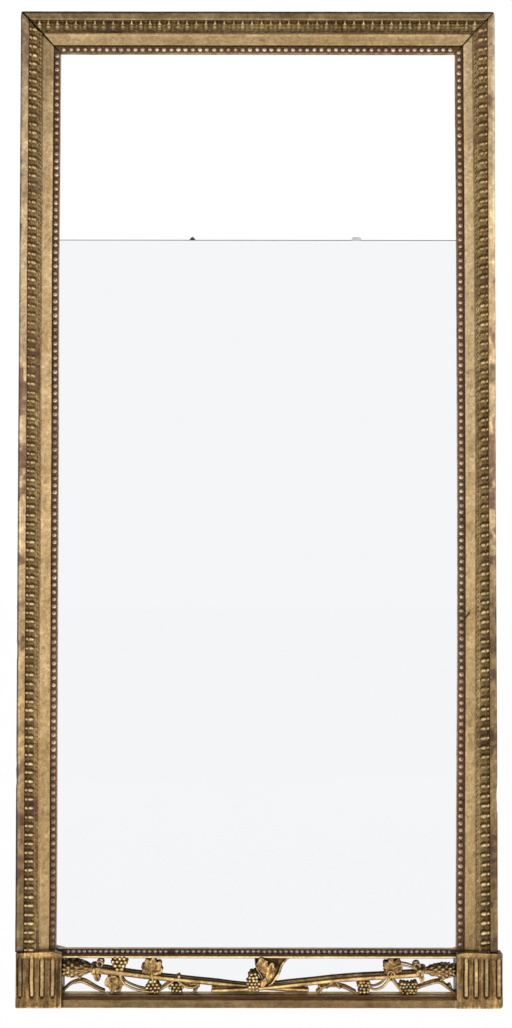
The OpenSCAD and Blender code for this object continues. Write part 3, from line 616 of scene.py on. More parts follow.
# The old stiles aren't quite straight: how far the outer and the inner edge stand off a straight line, in mm outwards, by height
BOW = {"left": ([100, 200, 330, 700, 1000, 1330, 1500, 1800], [-0.0, 0.0, 0.0, 0.0, 0.0, -0.2, -0.4, -0.5], [0.2, -0.4, -0.2, 0.4, 0.5, 1.6, 0.6, 0.0]),
       "right": ([100, 200, 330, 500, 640, 900, 1200, 1450, 1600, 1800], [1.6, 1.5, 1.7, 1.5, 1.3, 0.9, 1.3, 1.4, 1.6, 1.6],
                 [0.0, 0.6, 1.4, 3.0, 4.2, 5.0, 4.6, 4.2, 3.2, 2.4])}


# and how far the fillet beside the leaf moulding stands off it, inwards
FILLET = {"left": ([100, 200, 330, 430, 700, 850, 1100, 1330, 1450, 1700], [4.4, 2.6, 0.9, 0.5, 0.9, 1.6, 0.9, 1.3, 0.8, 0.3]),
          "right": ([100, 250, 480, 600, 800, 1000, 1330, 1700], [0.9, 0.4, 1.2, 0.6, -0.2, -0.7, 0.2, 1.4])}


def bow(P):
    """Applies the bow of the stiles to points (x, h, z)."""
    x, z = P[..., 0], P[..., 2]
    out = x.copy()
    for side, sg in (("left", -1), ("right", 1)):
        zs, do, di = BOW[side]
        k = np.clip((W2 - sg * x) / FW, 0, 1)
        d = np.interp(z, zs, do) * (1 - k) + np.interp(z, zs, di) * k
        u = W2 - sg * x
        d = d - np.interp(z, *FILLET[side]) * np.interp(u, [MEMBER[side][0], MEMBER[side][1] - 4, MEMBER[side][1] + 3, MEMBER[side][2] - 3], [0, 1, 1, 0])
        d = d * sstep(250, 345, sg * x)
        out = out + sg * d
    lim = W2 - 0.02
    out = np.where(P[..., 0] < 0, np.maximum(out, -lim), out)
    return np.stack([out, P[..., 1], z], -1)


def section_loop(kind, fine=None):
    be, le, fe = MEMBER[kind]
    P = round_corners(section(be, le, fe), 0.3)

    def step(m):
        u, h = m
        if h < 22:
            return 12.0
        if be - 0.3 < u < le + 0.2 and h < 36:
            return 7.0
        if fe - 0.3 < u < 70.7 and h < 28:
            return 4.0
        if u < 0.2 or u > 71.3:
            return 4.0
        if fine and fine[0] < u < fine[1]:
            return 0.75
        return 2.4
    return resample(P, step)


def normals2(P):
    """Outward normals of a closed loop of points [u, h]."""
    d = np.roll(P, -1, 0) - np.roll(P, 1, 0)
    n = np.stack([-d[:, 1], d[:, 0]], 1)
    n /= np.linalg.norm(n, axis=1)[:, None] + 1e-9
    area = 0.5 * np.sum(P[:, 0] * np.roll(P[:, 1], -1) - np.roll(P[:, 0], -1) * P[:, 1])
    return n if area < 0 else -n


def corner_round(P, r=4.0):
    """Rounds the frame's two outer top corners, on points (x, h, z)."""
    dx = np.abs(P[..., 0]) - (W2 - r)
    dz = P[..., 2] - (OH - r)
    d = np.hypot(dx, dz)
    k = np.where((dx > 0) & (dz > 0) & (d > r), r / np.maximum(d, 1e-6), 1.0)
    x = np.sign(P[..., 0]) * np.where(k < 1, W2 - r + dx * k, np.abs(P[..., 0]))
    z = np.where(k < 1, OH - r + dz * k, P[..., 2])
    return np.stack([x, P[..., 1], z], -1)


GAP = 1.35  # open mitre on each side


def gap(u):
    # the crack closes towards the glass
    return GAP - 0.95 * sstep(46, 70, u)


def rows_between(a, b, step, extra=()):
    n = int(round((b - a) / step)) + 1
    r = list(np.linspace(a, b, n))
    for lo, hi, st in extra:
        r = [x for x in r if x < lo or x > hi] + list(np.arange(lo, hi + 1e-6, st))
    return np.array(sorted(r))


def frame_member(P2, kind, seed, extra=(), wear_spots=(), gouge=None):
    """One front member from the section loop P2. kind is left, right or top."""
    n2 = normals2(P2)
    u, h = P2[:, 0], P2[:, 1]
    turn = np.linalg.norm(P2 - relax(P2, np.stack([np.arange(len(P2)), (np.arange(len(P2)) + 1) % len(P2)], 1), 3), axis=1)
    # convex edges of the front
    inward = np.einsum("ij,ij->i", relax(P2, np.stack([np.arange(len(P2)), (np.arange(len(P2)) + 1) % len(P2)], 1), 4) - P2, n2)
    convex = np.clip(-inward / 0.5, 0, 1) * (h > 24)
    if kind == "top":
        lim = 338.0
        mid = rows_between(-lim, lim, 4.0)
        tau = np.linspace(0, 1, 26)[1:]
        end = W2 - u - gap(u)
        S = np.concatenate([(-lim - (end[:, None] - lim) * tau[::-1]), np.broadcast_to(mid, (len(u), len(mid))),
                            (lim + (end[:, None] - lim) * tau)], 1)
    else:
        z1 = 1712.0
        mid = rows_between(BLK, z1, 4.0, extra)
        tau = np.linspace(0, 1, 26)[1:]
        end = OH - u - gap(u)
        S = np.concatenate([np.broadcast_to(mid, (len(u), len(mid))), z1 + (end[:, None] - z1) * tau], 1)
    U = np.broadcast_to(u[:, None], S.shape)
    H = np.broadcast_to(h[:, None], S.shape)
    def at(U, H, S):
        if kind == "top":
            return np.stack([S, H, OH - U], -1)
        x = -W2 + U if kind == "left" else W2 - U
        return np.stack([x, H, S], -1)
    P = at(U, H, S)
    # the two outer corners are rubbed round
    rr = 3.4
    for sg in (-1, 1):
        qx, qz = sg * P[..., 0] - (W2 - rr), P[..., 2] - (OH - rr)
        q = np.hypot(np.maximum(qx, 0), np.maximum(qz, 0))
        k = np.where((qx > 0) & (qz > 0) & (q > rr), rr / np.maximum(q, 1e-6), 1.0)
        P[..., 0] = np.where(k < 1, sg * (W2 - rr + qx * k), P[..., 0])
        P[..., 2] = np.where(k < 1, OH - rr + qz * k, P[..., 2])
    front = np.broadcast_to(((h > 22.5) | (u < 0.1))[:, None], S.shape)
    d = 0.22 * fbm(P, 34, seed, 3) + 0.10 * noise(P, 7, seed + 5) - 0.16
    chip = sstep(0.30, 0.72, noise(P, 13, seed + 9) + 0.35 * noise(P, 5, seed + 11))
    d = d - 1.1 * chip * convex[:, None]
    d = d - 0.35 * convex[:, None] * (0.5 + 0.5 * noise(P, 60, seed + 2))
    for (su, s0, s1, amount) in wear_spots:
        d = d - amount * bump(U, su, 3.0) * sstep(s0 - 6, s0 + 4, S) * sstep(s1 + 6, s1 - 4, S) * (0.6 + 0.6 * noise(P, 9, seed + 21))
    if gouge is not None:
        (u0, s0), (u1, s1), gw, gd = gouge
        a, b = np.array([u0, s0]), np.array([u1, s1])
        t = np.clip(((U - a[0]) * (b - a)[0] + (S - a[1]) * (b - a)[1]) / ((b - a) ** 2).sum(), 0, 1)
        dist = np.hypot(U - (a[0] + t * (b - a)[0]), S - (a[1] + t * (b - a)[1]))
        d = d - gd * np.exp(-(dist / gw) ** 2) * (H > 30)
    # eased arris at the cut ends
    e = np.zeros_like(S)
    e[:, -1] = 0.75
    e[:, -2] = 0.25
    if kind == "top":
        e[:, 0] = 0.75
        e[:, 1] = 0.25
    d = np.minimum(d - e, -0.02) * front
    D = n2[:, None] * d[..., None]
    P = at(U + D[..., 0], H + D[..., 1], S)
    P = bow(corner_round(P))
    n, m = S.shape
    V = P.transpose(1, 0, 2).reshape(-1, 3)
    g = Geo()
    g.add(V, loft_faces(n, m), ngons=[list(range(n)), list(range((m - 1) * n, m * n))])
    return g


print("scene: frame members")
gl = frame_member(section_loop("left"), "left", 11, wear_spots=[(2.0, 395, 452, 1.0), (9.5, 1180, 1260, 0.6), (1.0, 620, 650, 0.8)])
gr = frame_member(section_loop("right", fine=(46, 57)), "right", 37, extra=[(694, 712, 0.8)], wear_spots=[(0.8, 350, 408, 1.3), (3, 1010, 1060, 0.8), (7, 900, 940, 0.6)],
                  gouge=((56.6, 697.0), (50.2, 705.5), 0.85, 2.2))
gt = frame_member(section_loop("top"), "top", 53, wear_spots=[(12.2, 120, 190, 0.5), (12.2, -260, -180, 0.5)])


def coords(V, kind):
    """Distance from the outer edge, height above the base and distance from the wall, with the bow taken out again."""
    x, h, z = V[:, 0].copy(), -V[:, 1], V[:, 2] + ZH
    P = np.stack([x, h, z], -1)
    Q = P.copy()
    for _ in range(3):
        Q[:, 0] += x - bow(Q)[:, 0]
    if kind == "top":
        return OH - z, Q[:, 0], h
    return W2 - np.abs(Q[:, 0]), z, h


FLAT_TONE = {"left": ([100, 200, 450, 750, 1000, 1200, 1400, 1740], [-0.1, 0.12, 0.05, 0.12, 0.22, 0.15, 0.22, -0.3]),
             "right": ([100, 200, 450, 750, 1000, 1250, 1500, 1740], [-0.15, 0.15, 0.02, 0.06, 0.0, 0.1, 0.22, 0.0])}
BAND_TONE = {"left": ([100, 250, 450, 700, 950, 1250, 1500, 1740], [-1.1, -0.62, -0.25, -0.36, 0.22, -0.12, 0.36, -0.4]),
             "right": ([100, 300, 500, 700, 950, 1250, 1500, 1740], [-1.3, -1.0, -1.0, -1.0, 0.28, 0.62, 0.35, -0.2])}


def tone_stile(kind):
    be, le, fe = MEMBER[kind]
    sd = 3 if kind == "left" else 9

    def f(V, N):
        u, z, h = coords(V, kind)
        band = sstep(be + 0.1, be - 0.5, u)
        b = np.interp(z, *BAND_TONE[kind])
        b = b + 0.42 * fbm(V, 46, 5 + sd, 3) + 0.36 * noise(V, 11, 8 + sd) + 0.38 * noise(V, 5, 18 + sd) + 0.22 * noise(V, 2.6, 19 + sd)
        # worn, chalky chips of gesso along the arris
        arris = bump(u, 4.4, 1.1) if kind == "left" else sstep(5.5, 1.5, u)
        chips = sstep(0.25, 0.8, noise(V, 22, 31 + sd) + 0.5 * noise(V, 6, 32 + sd))
        if kind == "left":
            b = b - (0.7 + 1.1 * sstep(1100, 400, z)) * bump(u, 1.3, 1.5) - 0.35 * sstep(4.5, 1.0, u) * sstep(600, 900, z) - 0.12 * sstep(1200, 1450, z)
            b = b + arris * sstep(1300, 700, z) * (0.5 + 0.9 * sstep(-0.3, 0.4, noise(V, 16, 33 + sd))) + 0.5 * arris * chips
            b = b + 0.9 * bump(z, 1212, 16) * bump(u, 5, 4) * (0.4 + noise(V, 5, 3))
        else:
            b = b + arris * (0.55 + 0.35 * chips)
            b = b - 1.25 * sstep(1118, 1124, z) * sstep(1158, 1152, z) * sstep(15, 11, u)
            b = b + 0.5 * sstep(6, 2, u) * sstep(1250, 1500, z)
        b = b + 0.35 * sstep(be - 2.6, be - 1.2, u) * sstep(0.1, 0.7, noise(V, 18, 41 + sd) + 0.4)
        cove = sstep(le + 1.0, le + 2.6, u) * sstep(fe + 0.1, fe - 0.6, u)
        c = np.interp(z, *FLAT_TONE[kind])
        c = c + 0.16 * fbm(V, 60, 77 + sd, 2) + 0.13 * noise(V, 15, 6 + sd) + 0.14 * noise(V, 5.5, 16 + sd) + 0.10 * noise(V, 2.8, 17 + sd) - 0.05
        c = c - 0.5 * sstep(0.5, 0.85, noise(V, 8, 26 + sd) + 0.25 * noise(V, 3, 27 + sd)) - 0.6 * sstep(0.62, 0.8, noise(V, 3.4, 28 + sd))
        if kind == "right":
            c = c - 0.08
            b = b - 0.12 * sstep(1100, 1400, z)
        c = c + 0.25 * sstep(fe - 9, fe - 2, u) * sstep(1100, 1500, z)
        if kind == "left":
            c = c - 0.22 * sstep(1500, 1620, z) * (0.6 + noise(V, 24, 4))
        fillet = sstep(le - 0.2, le + 0.3, u) * sstep(le + 2.8, le + 1.8, u)
        fl = c - 0.25 + 0.45 * sstep(700, 500, z) * (kind == "left") + 0.25 * noise(V, 12, 51 + sd)
        rim = sstep(70.4, 70.8, u)
        t = band * b + cove * c * (1 - fillet) + fillet * fl + rim * (-0.1 + 0.3 * noise(V, 9, 61 + sd))
        t = t - 0.35 * sstep(fe - 1.4, fe - 0.2, u) * sstep(fe + 0.5, fe, u)
        # dark sides and darker lower ends
        t = t - 1.2 * sstep(0.5, 0.1, u) * (h < 44)
        t = t - 0.7 * sstep(106, 99, z) * sstep(0.2, 0.6, np.abs(noise(V, 9, 4)) + 0.3)
        return t
    return f


def tone_top(V, N):
    be, le, fe = MEMBER["top"]
    u, x, h = coords(V, "top")
    t = sstep(be + 0.1, be - 0.5, u) * (-1.3 + 0.45 * fbm(V, 50, 15, 3) + 0.4 * noise(V, 9, 14) + 0.25 * noise(V, 3.5, 17) - 1.6 * sstep(3.2, 1.4, u) - 0.85 * sstep(5.6, 3.0, u) + 0.3 * bump(u, 7.5, 2.5) + 0.65 * sstep(be - 4.0, be - 1.8, u))
    cove = sstep(le + 1.0, le + 2.6, u) * sstep(fe + 0.1, fe - 0.6, u)
    c = -0.38 + 0.16 * fbm(V, 70, 25, 3) + 0.12 * noise(V, 14, 26) + 0.10 * noise(V, 5, 27) + 0.38 * bump(u, le + 3.6, 1.8) + 0.30 * sstep(46, 55, u)
    c = c - 0.3 * sstep(0.5, 0.85, noise(V, 8, 28) + 0.25 * noise(V, 3, 29))
    t = t + cove * c + sstep(le - 0.2, le + 0.3, u) * sstep(le + 2.8, le + 1.8, u) * -0.6
    t = t - 1.2 * sstep(0.5, 0.1, u)
    t = t - 0.6 * sstep(fe - 1.6, fe - 0.2, u) * sstep(fe + 0.5, fe, u)
    t = t + sstep(70.4, 70.8, u) * -0.15
    return t


def wear_stile(kind):
    # the upper parts are dusty and paler
    zz, ww = ([300, 700, 1250, 1740], [0.0, 0.12, 0.28, 0.30]) if kind == "left" else ([300, 700, 1100, 1740], [0.0, 0.2, 0.42, 0.5])

    def f(V, N):
        u, z, h = coords(V, kind)
        k = np.interp(z, zz, ww) + 0.3 * sstep(MEMBER[kind][0], MEMBER[kind][0] - 2, u) * sstep(500, 1100, z)
        if kind == "left":
            k = k + 0.6 * bump(u, 4.4, 1.1) * sstep(1300, 700, z)
        return np.clip(k + 0.15 * noise(V, 20, 91), 0, 1)
    return f


def bole_stile(kind):
    be = MEMBER[kind][0]
    sd = 3 if kind == "left" else 9

    def f(V, N):
        u, z, h = coords(V, kind)
        band = sstep(be + 0.1, be - 0.5, u)
        b = band * 0.5 * sstep(0.2, 0.8, noise(V, 38, 31 + sd) + 0.45 * noise(V, 12, 32 + sd))
        b += band * 0.35 * bump(u, 1.5, 1.6)
        if kind == "left":
            b += band * 0.8 * sstep(200, 225, z) * sstep(372, 345, z) * (0.6 + 0.5 * noise(V, 14, 2))
            b += band * 0.9 * sstep(1105, 1118, z) * sstep(1152, 1140, z) * sstep(11, 6, u)
        else:
            b += band * 0.6 * sstep(560, 600, z) * sstep(1090, 1040, z) * sstep(0.0, 0.5, noise(V, 26, 55) + 0.2)
            b += band * 0.4 * sstep(200, 230, z) * sstep(330, 300, z)
        b += 0.25 * sstep(70.4, 70.8, u)
        return np.clip(b, 0, 1)
    return f


def dark_channels(kind):
    be, le, fe = MEMBER[kind]

    def f(V, N):
        u, z, h = coords(V, kind)
        # the channel floors and the gouge are darkened in the material as dirt and painted shade
        c = np.where((u > be - 0.25) & (u < le + 0.12) & (h < 44.0), 0.12, 0.0)
        c = np.maximum(c, np.where((u > fe - 0.2) & (u < 70.65) & (h < 32.6), 0.4, 0.0))
        c = np.maximum(c, 0.5 * sstep(0.6, 0.1, u) * (h < 44))
        if kind == "right":
            a, b = np.array([56.6, 697.0]), np.array([50.2, 705.5])
            t = np.clip(((u - a[0]) * (b - a)[0] + (z - a[1]) * (b - a)[1]) / ((b - a) ** 2).sum(), 0, 1)
            dist = np.hypot(u - (a[0] + t * (b - a)[0]), z - (a[1] + t * (b - a)[1]))
            c = np.maximum(c, np.exp(-(dist / 1.1) ** 4) * (h > 29))
        return c
    return f


dress("left_stile_carved", new_mesh("left_stile_carved", gl), m_stile_l, ["left_stile"], 2.5, 0.45,
      tone=tone_stile("left"), bole=bole_stile("left"), cav=dark_channels("left"), wear=wear_stile("left"))
dress("right_stile_carved", new_mesh("right_stile_carved", gr), m_stile_r, ["right_stile"], 2.5, 0.45,
      tone=tone_stile("right"), bole=bole_stile("right"), cav=dark_channels("right"), wear=wear_stile("right"))
dress("top_rail_carved", new_mesh("top_rail_carved", gt), m_top, ["top_rail"], 2.5, 0.45, tone=tone_top, cav=dark_channels("top"), wear=0.2,
      bole=lambda V, N: np.clip(0.55 * bump(coords(V, "top")[0], 1.2, 2.4) + 0.4 * sstep(70.4, 70.8, coords(V, "top")[0]), 0, 1))

# ---------------------------------------------------------------- leaf moulding


LEAF = {"left": dict(pitch=15.85, phase=([200, 500, 1000, 1450, 1740], [465.3, 465.3, 469.2, 467.9, 467.9]), slant=([100, 900, 1250, 1740], [0.6, 1.4, 3.4, 4.0])),
        "right": dict(pitch=17.45, phase=([150, 400, 1450, 1740], [865.4, 865.0, 860.1, 859.3]), slant=([100, 1740], [2.8, 3.4])),
        "top": dict(pitch=16.9, phase=([-400, 400], [-9.2, -9.2]), slant=([-400, 400], [0.5, 0.5]))}
# how strongly light and dark differ along each moulding, in the painted highlight and shade, the hollow dirt and the
# rubbed crests: mostly less in the upper parts
DEPTH = {"left": ([100, 550, 800, 1250, 1400, 1740], [1.0, 0.95, 0.55, 0.45, 0.7, 0.75]), "right": ([100, 600, 1000, 1400, 1740], [1.0, 0.9, 0.6, 0.42, 0.42]),
         "top": ([-400, 400], [0.5, 0.5])}


def leaf_top(kind, u):
    be, le, fe = MEMBER[kind]
    return 45.0 - 3.2 * np.clip((u - be) / (le - be) - 0.1, 0, 1) ** 1.3


def leaf_height(U, S, seed, kind):
    """Height of the carved moulding at u across and s along. Each leaf is a rib of two lobes, a small one outside and a long one inside,
    with a hollow between two ribs and a row of little points along the glass side."""
    rng = np.random.default_rng(seed)
    be, le, fe = MEMBER[kind]
    t = (U - be) / (le - be)
    L = LEAF[kind]
    q = (S - np.interp(S, *L["phase"]) + np.interp(S, *L["slant"]) * (t - 0.3)) / L["pitch"]
    idx = np.floor(q + 0.5).astype(int)
    R = rng.uniform(-1, 1, (400, 8))
    J = (idx + 150) % 400
    O = np.stack([U, S, U * 0], -1)
    v = q - idx + 0.03 * R[J, 0] + 0.025 * noise(O, 4.0, seed)
    top = leaf_top(kind, U)
    crest = top + 0.3 * R[J, 1]
    if kind == "top":
        crest = crest - 1.2 * bump(t, 0.40, 0.08)
        w = 0.15 + 0.22 * sstep(0.14, 0.45, t)
        hollow = 40.2 - 3.6 * bump(t, 0.07, 0.08) - 0.9 * sstep(0.55, 0.8, t)
    else:
        crest = crest - (1.7 + 0.4 * R[J, 3]) * bump(t, 0.25 + 0.02 * R[J, 4], 0.055) - 3.2 * sstep(0.60, 0.80, t)
        w = 0.18 + 0.095 * bump(t, 0.12, 0.09) + (0.15 + 0.02 * R[J, 2]) * bump(t, 0.44, 0.18) - 0.03 * sstep(0.6, 0.8, t)
        hollow = 39.3 + 1.2 * bump(t, 0.25, 0.05) + 0.3 * sstep(0.55, 0.75, t)
    hollow = hollow + 0.5 * noise(O, 3.0, seed + 3)
    core = np.exp(-(np.abs(v) / w) ** 2.6)
    flank = (0.5 + 0.5 * np.cos(2 * math.pi * v)) ** 1.3
    H = hollow + (crest - hollow) * (0.62 * core + 0.38 * flank)
    # points along the inner edge, two to a leaf, cut on the slope
    v2 = (q * 2 + 0.5 + (3.2 if kind != "top" else 0.0) * (t - 0.9)) % 1 - 0.5
    tip = np.exp(-(np.abs(v2) / 0.27) ** 2.2) * sstep(0.72 if kind != "top" else 0.80, 0.82 if kind != "top" else 0.87, t) * sstep(1.04, 0.97, t)
    H = np.maximum(H * sstep(0.92, 0.80, t) + 37.0 * sstep(0.80, 0.92, t), 37.0 + (1.9 + 0.3 * R[J, 5]) * tip)
    H = np.where(t < 0.03, np.minimum(H, 40.5 + 0 * t), H)
    worn = sstep(0.3, 0.8, noise(np.stack([U * 0, S, U * 0], -1), 70, seed + 7))
    H = H - worn * 0.9 * core * (t < 0.8)
    return H + 0.18 * noise(np.stack([U, S, H], -1), 2.6, seed + 8)


def leaf_strip(kind, seed):
    be, le, fe = MEMBER[kind]
    pitch = LEAF[kind]["pitch"]
    nu = 28
    u = np.linspace(be + 0.1, le - 0.1, nu)
    step = pitch / 18
    if kind == "top":
        lim = 352.0
        mid = rows_between(-lim, lim, step)
        k = int(40 / step)
        tau = np.linspace(0, 1, k)[1:]
        end = W2 - u - gap(u) - 0.25
        S = np.concatenate([(-lim - (end[:, None] - lim) * tau[::-1]), np.broadcast_to(mid, (nu, len(mid))), (lim + (end[:, None] - lim) * tau)], 1)
    else:
        z1 = 1740.0
        mid = rows_between(BLK + 0.3, z1, step)
        tau = np.linspace(0, 1, int(40 / step))[1:]
        end = OH - u - gap(u) - 0.25
        S = np.concatenate([np.broadcast_to(mid, (nu, len(mid))), z1 + (end[:, None] - z1) * tau], 1)
    U = np.broadcast_to(u[:, None], S.shape)
    H = leaf_height(U, S, seed, kind)
    H = np.clip(H, 35.4, 45.8)
    # close the strip underneath
    U = np.concatenate([U, U[-1:], U[:1]])
    S = np.concatenate([S, S[-1:], S[:1]])
    H = np.concatenate([H, np.full_like(H[:1], 35.0), np.full_like(H[:1], 35.0)])
    if kind == "top":
        P = np.stack([S, H, OH - U], -1)
    else:
        P = np.stack([-W2 + U if kind == "left" else W2 - U, H, S], -1)
    P = bow(P)
    n, m = S.shape
    g = Geo()
    g.add(P.transpose(1, 0, 2).reshape(-1, 3), loft_faces(n, m), ngons=[list(range(n)), list(range((m - 1) * n, m * n))])
    return g


def leaf_paint(kind):
    be, le, fe = MEMBER[kind]

    def parts(V):
        u, z, h = coords(V, kind)
        return (u - be) / (le - be), leaf_top(kind, u) - h, np.interp(z, *DEPTH[kind]), z

    def cav(V, N):
        t, d, k, z = parts(V)
        # dirt and painted shade deep in the hollows
        return np.clip(0.22 * k * sstep(2.6, 5.4, d) * (1 - 0.8 * sstep(0.72, 0.85, t)), 0, 1)

    def wear(V, N):
        t, d, k, z = parts(V)
        return 0.55 * k * sstep(1.9, 0.3, d) * sstep(0.75, 0.6, t)

    def tone(V, N):
        t, d, k, z = parts(V)
        # painted highlight on the crests and painted shade down the flanks into the hollows; on the stiles up-facing
        # parts are painted lighter, more so higher up
        rib = -0.22 - 0.1 * (kind == "right") - 0.2 * (kind == "right") * bump(z, 500, 250) + (0.10 + 0.35 * k) * sstep(1.6, 0.2, d) - 0.62 * k * sstep(0.8, 4.2, d)
        # the row of points: their raised tips painted lighter
        edge = -0.38 - 0.25 * k + 0.45 * sstep(8.2, 6.2, d) * k + 0.4 * noise(V, 3.2, 19) + 0.3 * noise(V, 8, 20)
        if kind != "top":
            rib = rib + np.interp(z, [300, 900, 1700], [0.1, 0.45, 0.65]) * N[:, 2]
        e = rib + (edge - rib) * sstep(0.70, 0.82, t) + 0.35 * sstep(0.10, 0.03, t)
        if kind == "top":
            # on the top rail: darker over the points, and painted shade deep in the outer hollows
            e = e - 0.45 * sstep(0.80, 0.88, t) - 1.2 * bump(t, 0.08, 0.07) * sstep(2.0, 4.0, d)
        return e + 0.18 * fbm(V, 40, 7, 2) + 0.26 * noise(V, 7, 9) + 0.30 * noise(V, 2.8, 10)

    def bole(V, N):
        t, d, k, z = parts(V)
        return np.clip(0.45 * sstep(0.1, 0.6, noise(V, 45, 13)) * sstep(1.0, 4.0, d) + 0.35 * sstep(0.74, 0.84, t) * sstep(500, 250, z) * (kind == "left"), 0, 1)
    return cav, wear, tone, bole


print("scene: leaf mouldings")
for kind, seed in (("left", 61), ("right", 62), ("top", 63)):
    name = kind + "_leaf_moulding_carved"
    cav, wear, tone, bole = leaf_paint(kind)
    if kind == "top":
        base_tone = tone

        def tone(V, N):
            u = coords(V, "top")[0]
            return base_tone(V, N) - 1.0 * sstep(27.5, 31.5, u) + 0.5 * sstep(20.5, 18.0, u)
    dress(name, new_mesh(name, leaf_strip(kind, seed)), m_leaf, [kind + "_leaf_moulding"], 2.2, 2.6,
          sharp=None, cav=cav, wear=wear, tone=tone, bole=bole)

# ---------------------------------------------------------------- beads


def bead_row(geo, spots, r, kind, seed):
    """Beads at spots [s, u, h]. Some are rubbed flat, some are out of line."""
    rng = np.random.default_rng(seed)
    for s, u, h in spots:
        k = rng.uniform(-1, 1, 5)
        rr = r * (1 + 0.05 * k[0])
        sq = (1 + 0.05 * k[1], 0.93 + 0.09 * k[2], 1 + 0.05 * k[3])
        s2, u2 = s + 0.35 * k[4], u + 0.2 * k[1]
        if kind == "top":
            ball(geo, (s2, h, OH - u2), rr, (sq[0] * 1.04, sq[1], sq[2]))
        elif kind == "cross":
            ball(geo, (s2, h, u2), rr, sq, 12, 8)
        else:
            p = bow(np.array([(-W2 + u2) if kind == "left" else (W2 - u2), h, s2]))
            ball(geo, tuple(p), rr, (sq[0], sq[1], sq[2] * 1.1))


def bead_ground(kind):
    """The ground that the beads stand on: a shallow trough with a raised string on each side."""
    be, le, fe = MEMBER[kind]
    a, b = fe + 0.25, 70.4
    L = np.array([[a, 27.2], [a, 28.0], [a + 0.7, 28.4], [a + 1.5, 28.1], [a + 2.4, 27.8], [(a + b) / 2, 27.7], [b - 2.2, 27.9], [b - 1.4, 28.4], [b - 0.7, 28.7],
                  [b, 28.2], [b, 27.2]])
    u, h = L[:, 0], L[:, 1]
    if kind == "top":
        lim = 352.0
        mid = rows_between(-lim, lim, 6.0)
        tau = np.linspace(0, 1, 8)[1:]
        end = W2 - u - gap(u) - 0.25
        S = np.concatenate([(-lim - (end[:, None] - lim) * tau[::-1]), np.broadcast_to(mid, (len(u), len(mid))), (lim + (end[:, None] - lim) * tau)], 1)
    else:
        z1 = 1712.0
        mid = rows_between(BLK + 0.3, z1, 6.0)
        tau = np.linspace(0, 1, 8)[1:]
        end = OH - u - gap(u) - 0.25
        S = np.concatenate([np.broadcast_to(mid, (len(u), len(mid))), z1 + (end[:, None] - z1) * tau], 1)
    U = np.broadcast_to(u[:, None], S.shape)
    H = np.broadcast_to(h[:, None], S.shape)
    H = H + (H > 27.5) * 0.25 * noise(np.stack([U, S, H], -1), 6, 5)
    P = np.stack([S, H, OH - U], -1) if kind == "top" else np.stack([-W2 + U if kind == "left" else W2 - U, H, S], -1)
    P = bow(P)
    n, m = S.shape
    g = Geo()
    g.add(P.transpose(1, 0, 2).reshape(-1, 3), loft_faces(n, m), ngons=[list(range(n)), list(range((m - 1) * n, m * n))])
    return g


def bead_cav(V, N):
    h = -V[:, 1]
    # grime and painted shade low down round the beads
    return 0.55 * sstep(31.0, 28.6, h)


def bead_wear(V, N):
    h = -V[:, 1]
    return 0.9 * sstep(31.2, 33.0, h)


def bead_tone(kind):
    def f(V, N):
        u, z, h = coords(V, kind)
        # painted shade on up-facing parts and low down round the beads; lighter towards the glass side
        e = (0.68 + 0.28 * sstep(300, 450, z) * sstep(1600, 1450, z) if kind == "left" else 0.98 if kind == "right" else 0.80) + 0.15 * sstep(66, 69, u) * (kind == "right") + 0.35 * sstep(700, 450, z) * (kind == "left") + 0.75 * sstep(64, 70, u) - 0.45 * sstep(0.15, 0.6, N[:, 2]) + 0.22 * fbm(V, 60, 3, 2) + 0.2 * noise(V, 12, 5)
        return e - 0.25 * sstep(32.4, 30.5, h)
    return f


def bead_bole(kind):
    def f(V, N):
        u, z, h = coords(V, kind)
        e = 0.25 * sstep(0.1, 0.6, noise(V, 70, 12))
        if kind == "left":
            e = e + 0.3 * sstep(700, 450, z)
        return np.clip(e, 0, 1)
    return f


print("scene: beads")
for kind, pitch, seed in (("left", 12.9, 71), ("right", 12.75, 72), ("top", 13.1, 73)):
    g = bead_ground(kind)
    bu = BEAD_U[kind]
    if kind == "top":
        spots = [((i - 27.0) * pitch, bu, 28.6) for i in range(55)]
    else:
        spots = [(BLK + 12 + i * pitch, bu, 28.6) for i in range(int((OH - 68 - BLK - 12) / pitch) + 1)]
        spots = [s for s in spots if s[0] < OH - bu - 4.5]
    bead_row(g, spots, 4.6, kind, seed)
    name = kind + "_bead_strip_carved"
    dress(name, new_mesh(name, g), m_bead, [kind + "_bead_strip"], 1.5, 1.6, sharp=None, cav=bead_cav, wear=bead_wear,
          tone=bead_tone(kind), bole=bead_bole(kind))

# ---------------------------------------------------------------- lower rails


